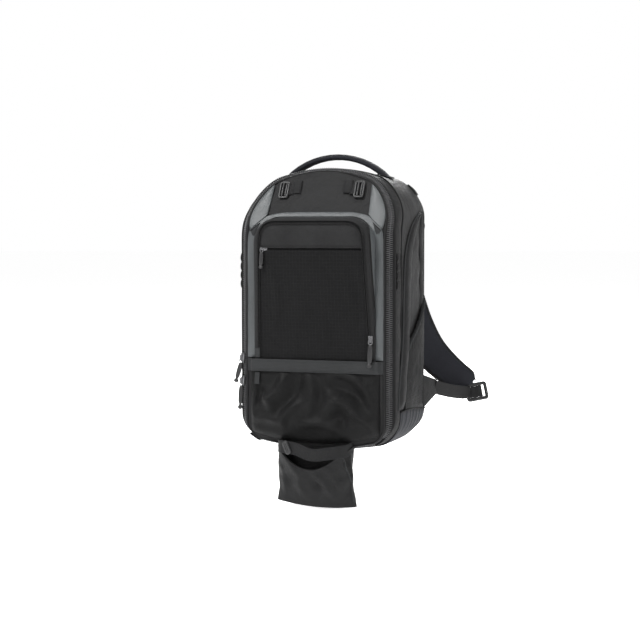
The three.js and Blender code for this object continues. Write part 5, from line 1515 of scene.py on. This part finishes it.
def make_gusset_loops():
    """Webbing sewn down in low loops behind the zip."""
    for hand, s in HANDS:
        v = np.linspace(0, 1, 120)
        z = LOOPS_LOW + LOOPS_LONG * v
        bump = 2.4 * np.abs(np.sin(v * math.pi * 4.0)) ** 0.6
        y = np.linspace(LOOPS_FRONT_Y, LOOPS_BACK_Y, 8)[None, :] + 0 * z[:, None]
        zz = z[:, None] + 0 * y
        back = side_point(s, y, zz, 0.4 + bump[:, None])
        front = side_point(s, y, zz, 1.7 + bump[:, None])
        slab(f"gusset_loops_{hand}", front, back, "webbing", f"gusset_webbing_{hand}")
        for k in range(5):
            bar = side_point(s, np.linspace(-79.3, -71.8, 10), np.full(10, 283.5 + 15.3 * k), 1.9)
            sewn(f"gusset_tacks_{hand}_{k}", resample(bar, 1.2), (s, 0, 0), "band", long=2.2,
                 gap=0.0, thick=0.8)


# Top loop: its two depth shares on the shoulder, and where on the outline it lies
TOP_LOOP_DEPTHS = (0.80, 0.95)
TOP_LOOP_X, TOP_LOOP_Z = 118.0, 449.0


def shoulder_line(depth, count):
    """Points down the body's right shoulder at a depth share, at equal shares of its cells."""
    ring = body_grid(depth, 0.6)[0]
    part = ring[(ring[:, 0] > TOP_LOOP_X) & (ring[:, 2] > TOP_LOOP_Z)]
    part = part[np.argsort(-part[:, 0])]
    share, own = np.linspace(0, 1, count), np.linspace(0, 1, len(part))
    return np.stack([np.interp(share, own, part[:, k]) for k in range(3)], axis=1)


def make_tabs():
    """Small sewn tabs: top loops, side tabs, base tabs and the zip's end tabs."""
    for hand, s in HANDS:
        flip = np.array([s, 1.0, 1.0])
        v = v_steps(16)
        u = np.linspace(0, 1, 12)[None, :, None]
        front, rear = (shoulder_line(depth, 16)[:, None] for depth in TOP_LOOP_DEPTHS)
        base = front + (rear - front) * u
        arch = (2.2 + 0.8 * hump(v))[..., None]
        n = np.array([0.78, 0.0, 0.62])
        slab(f"top_loop_webbing_{hand}", (base + n * arch) * flip, (base - n * 0.8) * flip,
             "webbing", f"top_loop_{hand}")
        y0 = np.linspace(58.0, 70.0, 8)[None, :]
        z0 = np.linspace(387.5, 400.5, 12)[:, None]
        back = side_point(s, y0, z0, 0.4)
        bow = hump(np.linspace(0, 1, 12))[:, None] * 1.2
        front = side_point(s, y0, z0, 3.0 + bow)
        slab(f"side_tab_webbing_{hand}", front, back, "webbing", f"side_tab_{hand}")
        a = np.radians(np.linspace(8, 34, 12))[:, None]
        depth = np.linspace(-92.0, -81.4, 8)[None, :]
        half, top, radius, foot = 143.0, 454.5, 40.0, 20.5
        x = half - radius + (radius + 0.4) * np.sin(a) + 0 * depth
        z = foot + radius - (radius + 0.4) * np.cos(a) + 0 * depth
        z = bent(x, z, half, top, foot, CROWN)
        y = leaned(depth, z)
        n = xyz(np.sin(a), 0 * a, -np.cos(a))
        base = xyz(x, y, z)
        slab(f"base_tab_webbing_{hand}", (base + n * 2.2) * flip, base * flip, "webbing",
             f"base_tab_{hand}")
    for name, low_z, high_z, lift_low, lift_high in (
            ("upper", 161.0, 178.0, 5.0, 5.4), ("lower", 114.0, 135.0, 8.8, 5.6)):
        x = np.linspace(-110.5, -101.5, 10)[None, :]
        v = v_steps(14)
        z = low_z + (high_z - low_z) * v + 0 * x
        lift = lift_low + (lift_high - lift_low) * v + 0 * x + 0.7 * hump(v)
        y = FRONT_Y + lean(z) - lift
        back = xyz(x + 0 * v, y, z)
        slab(f"zip_tab_webbing_{name}", back - np.array([0, 1.3, 0]), back, "band", f"zip_tab_{name}")


# Foot pouch: half width at its mouth and how much it flares, depth at its mouth and how much
# it narrows, back wall, gusset seam's place and slope, and folds
POUCH_HALF, POUCH_FLARE, POUCH_DEEP, POUCH_NARROW, POUCH_BACK_Y = 68.0, 8.0, 46.0, 31.0, -78.0
POUCH_SEAM_X, POUCH_SEAM_SLOPE = 55.0, 0.21
POUCH_FOLDS = np.array([
    [-50, -10, -20, -80, 10, 6.0], [-8, -30, 10, -92, 9, -5.5], [30, -24, 52, -88, 9, 6.0],
    [58, -6, 64, -80, 5, -6.0], [-66, -20, -60, -90, 6, 3.0], [0, -40, 40, -90, 8, 4.0]])


def face_centres(obj):
    """Middles of a mesh's faces in bag coordinates."""
    centre = np.empty(len(obj.data.polygons) * 3)
    obj.data.polygons.foreach_get("center", centre)
    return centre.reshape(-1, 3) * 1000.0 + HANG_POINT


def make_foot_pouch():
    """Drooping cup under the front edge: rings from its mouth down, with gusset folds."""
    v = (np.linspace(0, 1, 70) ** 0.9)[:, None]
    half = POUCH_HALF + POUCH_FLARE * v ** 0.7
    depth = POUCH_DEEP - POUCH_NARROW * v
    k = u_steps(60)
    back_x = -half + 2 * half * k
    a = np.linspace(0, math.pi, 90)[None, :]
    front_x = half * np.cos(a)
    front_y = np.abs(np.sin(a)) ** 0.55
    zip_x, zip_z = (line[0] for line in bevel_outline(1.0))
    lower = zip_z < 100
    order = np.argsort(zip_x[lower])
    x = np.concatenate([back_x, front_x[:, 1:-1] + 0 * v], axis=1)
    y = POUCH_BACK_Y - np.concatenate([0 * back_x, depth * front_y[:, 1:-1]], axis=1)
    mix = np.concatenate([0 * k + 0 * v, front_y[:, 1:-1] + 0 * v], axis=1)
    back_top = np.interp(x, zip_x[lower][order], zip_z[lower][order]) - 0.6
    front_top = 4.0 - 36.0 * (1 - (x / half) ** 2)
    base = -93.0 - 8.0 * (1 - ((x - 25.0) / 100.0) ** 2)
    top = back_top * (1 - mix) + front_top * mix
    z = top + (base - top) * v
    front = blend01(-y, 84, 96)
    relief = folds(x, z, POUCH_FOLDS) * front
    lumps = ripple(x, z, 81, 36.0, 1.3)
    side = blend01(np.abs(x), 55, 68) * (1 - front)
    crush = 5.0 * side * hump(v) * (1 + 0.15 * np.sin(z / 6.0))
    crush = crush + 3.5 * blend01(x, 30, 68) * v ** 0.5
    x = x - np.sign(x) * crush
    y = y - (relief + lumps * front) * hump(np.clip(v, 0, 0.97)) ** 0.4
    grid = xyz(x, y, z)
    middle = grid[-1].mean(axis=0)
    ends = [middle + (grid[-1:] - middle) * share + np.array([0, 0, -drop])
            for share, drop in ((0.8, 1.6), (0.4, 2.2), (0.0, 2.4))]
    obj = skin("foot_pouch_cloth", np.concatenate([grid, *ends]), wrap_cols=True, thick=1.4)
    place(obj, "body", "foot_pouch")
    obj.data.materials.append(finish_of("slack"))
    obj.modifiers["Wall"].material_offset = 1
    face_x, _, face_z = face_centres(obj).T
    gusset = (face_x > POUCH_SEAM_X - POUCH_SEAM_SLOPE * face_z).astype(np.int32)
    obj.data.polygons.foreach_set("material_index", gusset)
    gap = np.abs(x - POUCH_SEAM_X + POUCH_SEAM_SLOPE * z) + 100.0 * (y > -86.0)
    seam = grid[np.arange(len(grid)), np.argmin(gap, axis=1)][1:62]
    seam = resample(seam + np.array([0.0, -0.6, 0.0]), 4.0)
    cord("foot_pouch_seam", seam, (1.3, 1.3, 8), (0, -1, 0), "band")
    rim = resample(grid[0], 3.0, closed=True)
    cord("foot_pouch_hem", rim[1:], (1.2, 2.6, 10, 0.8), (0, -1, 0), "webbing", closed=True)


POUCH_BAND_POINTS = (
    (-63.0, -86.0, 5.0), (-63.0, -108.0, 6.0), (-50.0, -131.0, 9.0), (-19.7, -141.0, 6.5),
    (8.0, -142.5, -1.5), (34.0, -137.5, -0.5), (54.0, -122.0, 1.5), (64.0, -104.0, 3.5),
    (67.0, -86.0, 6.0))


def make_pouch_band():
    """Band that bows out in front of the pouch, with its adjuster."""
    path = spline(POUCH_BAND_POINTS, 120)
    along = unit(np.gradient(path, axis=0))
    normal = unit(xyz(along[:, 1], -along[:, 0], 0 * along[:, 0]))
    path = path + np.array([0, 0, 1.0]) * np.sin(np.linspace(0, 20, 121))[:, None] * 0.5
    cord("pouch_band_webbing", path, (11.0, 1.0, 20, 0.35), normal, "webbing", "pouch_band")
    _, side, up = frames(path, normal)
    for k, shift in enumerate((-8.6, 8.6)):
        sewn(f"pouch_band_stitches_{k}", path + side * shift + up * 1.0, normal, "strap", lift=0.1)
    at = 38
    tilt = math.radians(29.0)
    bar = side[at] * math.cos(tilt) + along[at] * math.sin(tilt)
    over = along[at] * math.cos(tilt) - side[at] * math.sin(tilt)
    ladder("pouch_adjuster", path[at] + normal[at] * 3.0, bar, over, 25.0, 12.0, 3.4, "plastic",
           "pouch_buckle", rim=2.2)


def slider(name, centre, along, up, scale, node):
    """Zip slider: a waisted body of two cheeks and a bridge over it."""
    along, up = unit(np.asarray(along, float)), unit(np.asarray(up, float))
    side = np.cross(along, up)
    centre = np.asarray(centre, float)
    t = np.linspace(-1, 1, 18)
    path = centre + (t * 7.0 * scale)[:, None] * along
    waist = 1.0 - 0.28 * bell(t + 0.5, 0.35)
    body = sweep(name, path, round_section(4.4 * scale, 1.9 * scale, 20, 0.5), up,
                 scale=np.stack([waist, 1 - 0.25 * np.abs(t) ** 3], axis=1))
    a = np.linspace(0, math.pi, 14)[:, None]
    arch = centre + np.cos(a) * along * 4.4 * scale + np.sin(a) * up * 3.0 * scale + up * 1.2 * scale
    section = round_section(1.5 * scale, 0.8 * scale, 10, 0.6)
    bridge = sweep(f"{name}_bridge", arch, section, np.broadcast_to(side, arch.shape))
    return join_pieces([body, bridge], "metal", node)


def ring_link(name, centre, along, face, wide, tall, wire):
    """Oval wire link in a plane."""
    a = (np.arange(28) * 2 * math.pi / 28)[:, None]
    side = unit(np.cross(along, face))
    along = unit(np.asarray(along, float))
    path = np.asarray(centre) + np.cos(a) * side * wide / 2 + np.sin(a) * along * tall / 2
    return cord(name, path, (wire, wire, 8), face, "metal", closed=True)


def pull(name, top, low, radius, node):
    """Moulded pull: a slim grip that swells, waists and ends in a rounded ball."""
    top, low = np.asarray(top, float), np.asarray(low, float)
    t = np.linspace(0, 1, 60)
    path = top + (low - top) * t[:, None]
    grip = 0.55 + 0.35 * blend01(t, 0.0, 0.12) + 0.1 * hump(np.clip((t - 0.1) / 0.6, 0, 1))
    grip = grip * (1 - 0.42 * bell(t - 0.78, 0.045))
    end = np.sqrt(np.clip(1 - ((t - 0.9) / 0.1) ** 2, 0, 1))
    size = np.where(t > 0.82, np.maximum(end, grip * (1 - blend01(t, 0.8, 0.86))), grip)
    size = size * np.clip(t / 0.02, 0.2, 1)
    ribs = 1 + 0.05 * np.sin(t * 140) * ((t > 0.2) & (t < 0.7))
    obj = sweep(name, path, round_section(radius, radius * 0.62, 20, 0.8), (0, -1, 0),
                scale=np.stack([size * ribs, np.maximum(size, end * 0.9) * ribs], axis=1))
    return place(obj, "plastic", node)


# Main zip's sliders with their heights and the way their pulls hang, and the other sliders
MAIN_SLIDERS = (("upper", 159.0, (-11.0, -1.5, -39.0)), ("lower", 118.0, (-1.0, -4.0, -46.0)))
SLIT_SLIDER_X, ARCH_SLIDER_Z = -88.0, 198.0


def make_hardware():
    """Sliders, links and pulls of the main zip, the slit's zip and the arched zip."""
    turn = math.sqrt(0.5)
    coil_up = np.array([-turn, -turn, 0.0])
    coil = np.array([-(PANEL_HALF + 8.0), FRONT_Y + ZIP_DEPTH / 2, 0.0])
    for name, z, hang in MAIN_SLIDERS:
        centre = coil + coil_up * 4.6 + np.array([0, 0, z])
        slider(f"main_zip_slider_{name}", centre, (0, 0, 1), coil_up, 1.2, f"main_slider_{name}")
        top = coil + coil_up * 8.2 + np.array([0, 0, z - 4.0])
        ring_link(f"main_zip_link_{name}", top + np.array([0, 0, -1.0]), (0, 0, 1),
                  (turn, -turn, 0), 6.0, 9.0, 0.8)
        start = top + np.array([0, 0, -4.5])
        end = start + np.array(hang) * 0.93
        pull(f"main_zip_pull_{name}", start, end, 4.3, f"main_pull_{name}")
    at, up = on_pocket(np.array([SLIT_SLIDER_X]), np.array([POCKET_ZIP_Z]), 2.6)
    slider("pocket_zip_slider", at[0], (1, 0, 0), up[0], 1.0, "pocket_slider")
    top = at[0] + up[0] * 3.4 + np.array([-2.0, 0, -2.0])
    ring_link("pocket_zip_link", top, (0, 0, 1), (0.2, -1, 0), 5.5, 8.0, 0.7)
    start, end = top + np.array([0, 0, -3.5]), top + np.array([-1.5, -0.6, -33.0])
    pull("pocket_zip_pull", start, end, 3.8, "pocket_pull")
    x = POCKET_HALF - float(wall_wide(ARCH_SLIDER_Z)) - 0.9
    at, up = on_pocket(np.array([x]), np.array([ARCH_SLIDER_Z]), 2.4)
    slider("arch_zip_slider", at[0], (0, 0, 1), up[0], 0.85, "arch_slider")
    top = at[0] + up[0] * 3.4 + np.array([-0.6, 0, -4.0])
    ring_link("arch_zip_link", top, (0, 0, 1), (0.2, -1, 0), 6.5, 10.0, 0.9)
    start, end = top + np.array([0, 0, -5.0]), top + np.array([-1.5, -1.6, -45.0])
    pull("arch_zip_pull", start, end, 4.4, "arch_pull")


# Back pad: heights of its rows, and a cushion's rings as shares of its outline and depths
CUSHION_ROWS = ((46.0, 150.0), (156.0, 262.0), (268.0, 350.0), (356.0, 444.0))
CUSHION_SHARES = np.array([0.0, 0.3, 0.62, 0.86, 0.97, 1.0, 0.97, 0.86, 0.5, 0.0])[:, None]
CUSHION_DEPTHS = np.array([9.0, 9.0, 8.6, 7.2, 4.8, 3.0, 1.6, 1.0, 0.8, 0.8])[:, None]


def make_back():
    """Back pad in two blown-up columns with cross channels, and the yoke over them."""
    for k, (low, high) in enumerate(CUSHION_ROWS):
        for hand, s in HANDS:
            inner, outer = 8.0, 116.0 - (16.0 if k == 3 else 0.0) - (8.0 if k == 0 else 0.0)
            ring = round_section((outer - inner) / 2, (high - low) / 2, 72, 0.42)
            x = s * (inner + outer) / 2 + ring[:, 0] * CUSHION_SHARES
            z = (low + high) / 2 + ring[:, 1] * CUSHION_SHARES
            grid = xyz(x, SHELL_BACK_Y + CUSHION_DEPTHS + 0 * x, z)
            obj = skin(f"back_cushion_{k}_{hand}", grid, wrap_cols=True)
            plump(obj, 0.0048, 4.0, 0.003)
            flat_uv(obj, (1, 0, 0), (0, 0.2, 1))
            place(obj, "strap", *(["back_pad"] if k == 0 and s < 0 else []), fill=0.6)
    u = np.linspace(-1, 1, 30)[None, :]
    v = v_steps(12)
    z = 434.0 + 30.0 * v + 0 * u
    x = 85.0 * u + 0 * v
    back = xyz(x, 98.3 + 0 * x, z)
    front = xyz(x, 101.3 + 0.8 * hump(v) + 0 * x, z)
    slab("strap_yoke_cloth", front, back, "strap", "strap_yoke")
    for k, row in ((0, 1), (1, -2)):
        sewn(f"yoke_stitches_{k}", resample(front[row], 3.0), (0, 1, 0), "webbing")


# Soft lights: name, place, size and power
LIGHTS = (
    ("key", (-1.5, -2.0, 2.3), 0.8, 130.0), ("fill", (2.4, -1.6, 0.4), 1.2, 25.0),
    ("top", (0.2, -0.3, 2.5), 1.4, 46.0), ("rim", (2.1, 1.7, 0.8), 1.2, 25.0),
    ("rear", (-0.7, 2.7, 1.3), 1.2, 110.0))


def make_stage():
    """Pale floor under the bag, a camera at the recorded place and soft lights."""
    low = CAD_BOX[0][2] - 0.004
    a = np.arange(64) * 2 * math.pi / 64
    radii = np.array([0.0, 0.5, 1.5, 4.0, 12.0, 40.0])[:, None]
    grid = xyz(radii * np.cos(a), radii * np.sin(a), low + 0 * radii * a) * 1000.0 + HANG_POINT
    floor = skin("floor", grid, facing=(0, 0, 1), wrap_cols=True)
    pale = bpy.data.materials.new("Pale floor")
    pale.use_nodes = True
    tree = pale.node_tree
    shader = tree.nodes["Principled BSDF"]
    shader.inputs["Roughness"].default_value = 0.9
    shader.inputs["Base Color"].default_value = (*bpy.context.scene.backpack_colours.floor, 1.0)
    shader.inputs["Emission Color"].default_value = (1.0, 1.0, 1.0, 1.0)
    shader.inputs["Emission Strength"].default_value = 1.0 - SKY_LIGHT
    floor.data.materials.append(pale)
    world = bpy.data.worlds.new("Studio")
    world.use_nodes = True
    tree = world.node_tree
    seen = add_node(tree, "ShaderNodeLightPath").outputs["Is Camera Ray"]
    glow = add_node(tree, "ShaderNodeMapRange", {0: seen, 3: SKY_LIGHT, 4: 1.0})
    tree.nodes["Background"].inputs["Color"].default_value = (1.0, 1.0, 1.0, 1.0)
    tree.links.new(glow.outputs[0], tree.nodes["Background"].inputs["Strength"])
    bpy.context.scene.world = world
    bpy.context.scene.view_settings.view_transform = "Standard"
    aim = Vector(to_row((0, 0, 260)))
    for name, at, size, power in LIGHTS:
        lamp = bpy.data.lights.new(name, "AREA")
        lamp.size = size
        lamp.energy = power
        obj = bpy.data.objects.new(name, lamp)
        obj.location = at
        obj.rotation_euler = (aim - Vector(at)).to_track_quat("-Z", "Y").to_euler()
        bpy.context.scene.collection.objects.link(obj)
    camera = bpy.data.cameras.new("camera")
    camera.lens = CAMERA_LENS
    camera.sensor_width = SENSOR
    camera.clip_end = 100.0
    obj = bpy.data.objects.new("camera", camera)
    obj.location = Vector(to_row(CAMERA_AT))
    obj.rotation_euler = (Vector(to_row(CAMERA_TO)) - obj.location).to_track_quat("-Z", "Y").to_euler()
    bpy.context.scene.collection.objects.link(obj)
    bpy.context.scene.camera = obj


def colour_prop(name, about, default):
    """Colour property for the panel."""
    return bpy.props.FloatVectorProperty(name=name, description=about, default=default,
        subtype="COLOR", size=3, min=0.0, max=1.0)


class BackpackColours(bpy.types.PropertyGroup):
    """Colours of the bag's cloths and fittings."""
    body: colour_prop("Body cloth", "Black cloth of the body, lid and lower pocket",
        (0.0095, 0.0095, 0.0098))
    coated: colour_prop("Coated cloth", "Grey coated cloth of the wings and the arch frame",
        (0.048, 0.0525, 0.0545))
    ripstop: colour_prop("Ripstop", "Squared cloth of the front and bottle pockets",
        (0.005, 0.005, 0.0052))
    # On the side panels' piping this lighter grey is a painted highlight.
    band: colour_prop("Band", "Grey webbing of the cross band and the side piping",
        (0.0195, 0.0202, 0.0208))
    boot: colour_prop("Boot", "Tough cloth of the base", (0.022, 0.0228, 0.0265))
    strap: colour_prop("Straps", "Smooth cloth of the straps, handle and back pad",
        (0.0155, 0.016, 0.0195))
    webbing: colour_prop("Webbing", "Black webbing, cords, tapes and thread", (0.0115, 0.0115, 0.0118))
    plastic: colour_prop("Plastic", "Moulded buckles, teeth and pulls", (0.013, 0.013, 0.0135))
    metal: colour_prop("Metal", "Plated sliders and links", (0.15, 0.15, 0.155))
    floor: colour_prop("Floor", "Studio floor", (0.97, 0.97, 0.97))


class BackpackSizes(bpy.types.PropertyGroup):
    """Sizes of the bag's fine detail."""
    thread: bpy.props.FloatProperty(name="Thread", description="Pitch of the body cloth's weave",
        default=0.0012, min=0.0004, max=0.004, precision=4, unit="LENGTH")
    ripstop: bpy.props.FloatProperty(name="Ripstop square",
        description="Side of the ripstop's squares", default=0.0062, min=0.003, max=0.02,
        precision=4, unit="LENGTH")
    zip_pitch: bpy.props.FloatProperty(name="Zip pitch",
        description="Pitch of the main zip's teeth", default=0.0034, min=0.002, max=0.008,
        precision=4, unit="LENGTH")


class MakesPieces:
    """Runs the makers of one piece or of one group of like pieces."""
    bl_options = {"REGISTER", "UNDO"}
    makers = ()

    def execute(self, context):
        """Runs the makers in order."""
        for maker in self.makers:
            maker()
        return {"FINISHED"}


class BACKPACK_OT_stage(MakesPieces, bpy.types.Operator):
    """Makes the floor, the lights and the camera"""
    bl_idname = "backpack.stage"
    bl_label = "Stage"
    makers = (make_stage,)


class BACKPACK_OT_body(MakesPieces, bpy.types.Operator):
    """Makes the padded body with its seams"""
    bl_idname = "backpack.body"
    bl_label = "Body"
    makers = (make_body, make_body_trim)


class BACKPACK_OT_lid(MakesPieces, bpy.types.Operator):
    """Makes the front panel"""
    bl_idname = "backpack.lid"
    bl_label = "Lid"
    makers = (make_lid,)


class BACKPACK_OT_main_zip(MakesPieces, bpy.types.Operator):
    """Makes the bevelled zip band and its teeth"""
    bl_idname = "backpack.main_zip"
    bl_label = "Main zip"
    makers = (make_main_zip,)


class BACKPACK_OT_boot(MakesPieces, bpy.types.Operator):
    """Makes the tough skin of the base"""
    bl_idname = "backpack.boot"
    bl_label = "Boot"
    makers = (make_boot,)


class BACKPACK_OT_front_pocket(MakesPieces, bpy.types.Operator):
    """Makes the front pocket and its zips"""
    bl_idname = "backpack.front_pocket"
    bl_label = "Front pocket"
    makers = (make_front_pocket, make_pocket_zips)


class BACKPACK_OT_lower_pocket(MakesPieces, bpy.types.Operator):
    """Makes the slack pocket under the band"""
    bl_idname = "backpack.lower_pocket"
    bl_label = "Lower pocket"
    makers = (make_lower_pocket,)


class BACKPACK_OT_coated_trim(MakesPieces, bpy.types.Operator):
    """Makes the arch frame, its darts and the wings"""
    bl_idname = "backpack.coated_trim"
    bl_label = "Coated trim"
    makers = (make_arch_frame, make_darts, make_wings)


class BACKPACK_OT_cross_band(MakesPieces, bpy.types.Operator):
    """Makes the webbing across the front"""
    bl_idname = "backpack.cross_band"
    bl_label = "Cross band"
    makers = (make_cross_band,)


class BACKPACK_OT_handle(MakesPieces, bpy.types.Operator):
    """Makes the grab handle and its feet"""
    bl_idname = "backpack.handle"
    bl_label = "Grab handle"
    makers = (make_handle, make_handle_feet)


class BACKPACK_OT_accessories(MakesPieces, bpy.types.Operator):
    """Makes the tabs and buckles on the lid"""
    bl_idname = "backpack.accessories"
    bl_label = "Accessory loops"
    makers = (make_accessories,)


class BACKPACK_OT_sides(MakesPieces, bpy.types.Operator):
    """Makes the side panels, bottle pockets and gusset loops"""
    bl_idname = "backpack.sides"
    bl_label = "Sides"
    makers = (make_sides, make_bottle_pockets, make_gusset_loops)


class BACKPACK_OT_tabs(MakesPieces, bpy.types.Operator):
    """Makes the small sewn tabs"""
    bl_idname = "backpack.tabs"
    bl_label = "Tabs"
    makers = (make_tabs,)


class BACKPACK_OT_pouch(MakesPieces, bpy.types.Operator):
    """Makes the foot pouch and its band"""
    bl_idname = "backpack.pouch"
    bl_label = "Foot pouch"
    makers = (make_foot_pouch, make_pouch_band)


class BACKPACK_OT_hardware(MakesPieces, bpy.types.Operator):
    """Makes the sliders, links and pulls"""
    bl_idname = "backpack.hardware"
    bl_label = "Zip hardware"
    makers = (make_hardware,)


class BACKPACK_OT_straps(MakesPieces, bpy.types.Operator):
    """Makes the shoulder straps with their webbing and buckles"""
    bl_idname = "backpack.straps"
    bl_label = "Shoulder straps"
    makers = (make_straps, make_strap_ends)


class BACKPACK_OT_back(MakesPieces, bpy.types.Operator):
    """Makes the back pad and the yoke"""
    bl_idname = "backpack.back"
    bl_label = "Back"
    makers = (make_back,)


# In the order in which main calls them
OPERATORS = (
    BACKPACK_OT_stage, BACKPACK_OT_body, BACKPACK_OT_lid, BACKPACK_OT_main_zip, BACKPACK_OT_boot,
    BACKPACK_OT_front_pocket, BACKPACK_OT_lower_pocket, BACKPACK_OT_coated_trim,
    BACKPACK_OT_cross_band, BACKPACK_OT_handle, BACKPACK_OT_accessories, BACKPACK_OT_sides,
    BACKPACK_OT_tabs, BACKPACK_OT_pouch, BACKPACK_OT_hardware, BACKPACK_OT_straps,
    BACKPACK_OT_back,
)


class BACKPACK_PT_panel(bpy.types.Panel):
    """Lists the bag's sizes, colours and pieces in the 3D view's sidebar."""
    bl_idname = "BACKPACK_PT_panel"
    bl_label = "Backpack"
    bl_space_type = "VIEW_3D"
    bl_region_type = "UI"
    bl_category = "Backpack"

    def draw(self, context):
        """Lists the settings, then a button for each operator."""
        layout = self.layout
        for group in (context.scene.backpack_sizes, context.scene.backpack_colours):
            for key in group.__annotations__:
                layout.prop(group, key)
        for made in OPERATORS:
            layout.operator(made.bl_idname)


CLASSES = (BackpackColours, BackpackSizes, *OPERATORS, BACKPACK_PT_panel)


def register():
    """Registers the classes and hangs the property groups on the scene."""
    for made in CLASSES:
        bpy.utils.register_class(made)
    bpy.types.Scene.backpack_colours = bpy.props.PointerProperty(type=BackpackColours)
    bpy.types.Scene.backpack_sizes = bpy.props.PointerProperty(type=BackpackSizes)


def unregister():
    """Undoes register."""
    del bpy.types.Scene.backpack_sizes
    del bpy.types.Scene.backpack_colours
    for made in reversed(CLASSES):
        bpy.utils.unregister_class(made)


def main():
    """Registers the add-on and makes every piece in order."""
    register()
    for made in OPERATORS:
        group, name = made.bl_idname.split(".")
        getattr(getattr(bpy.ops, group), name)()


if __name__ == "__main__":
    main()
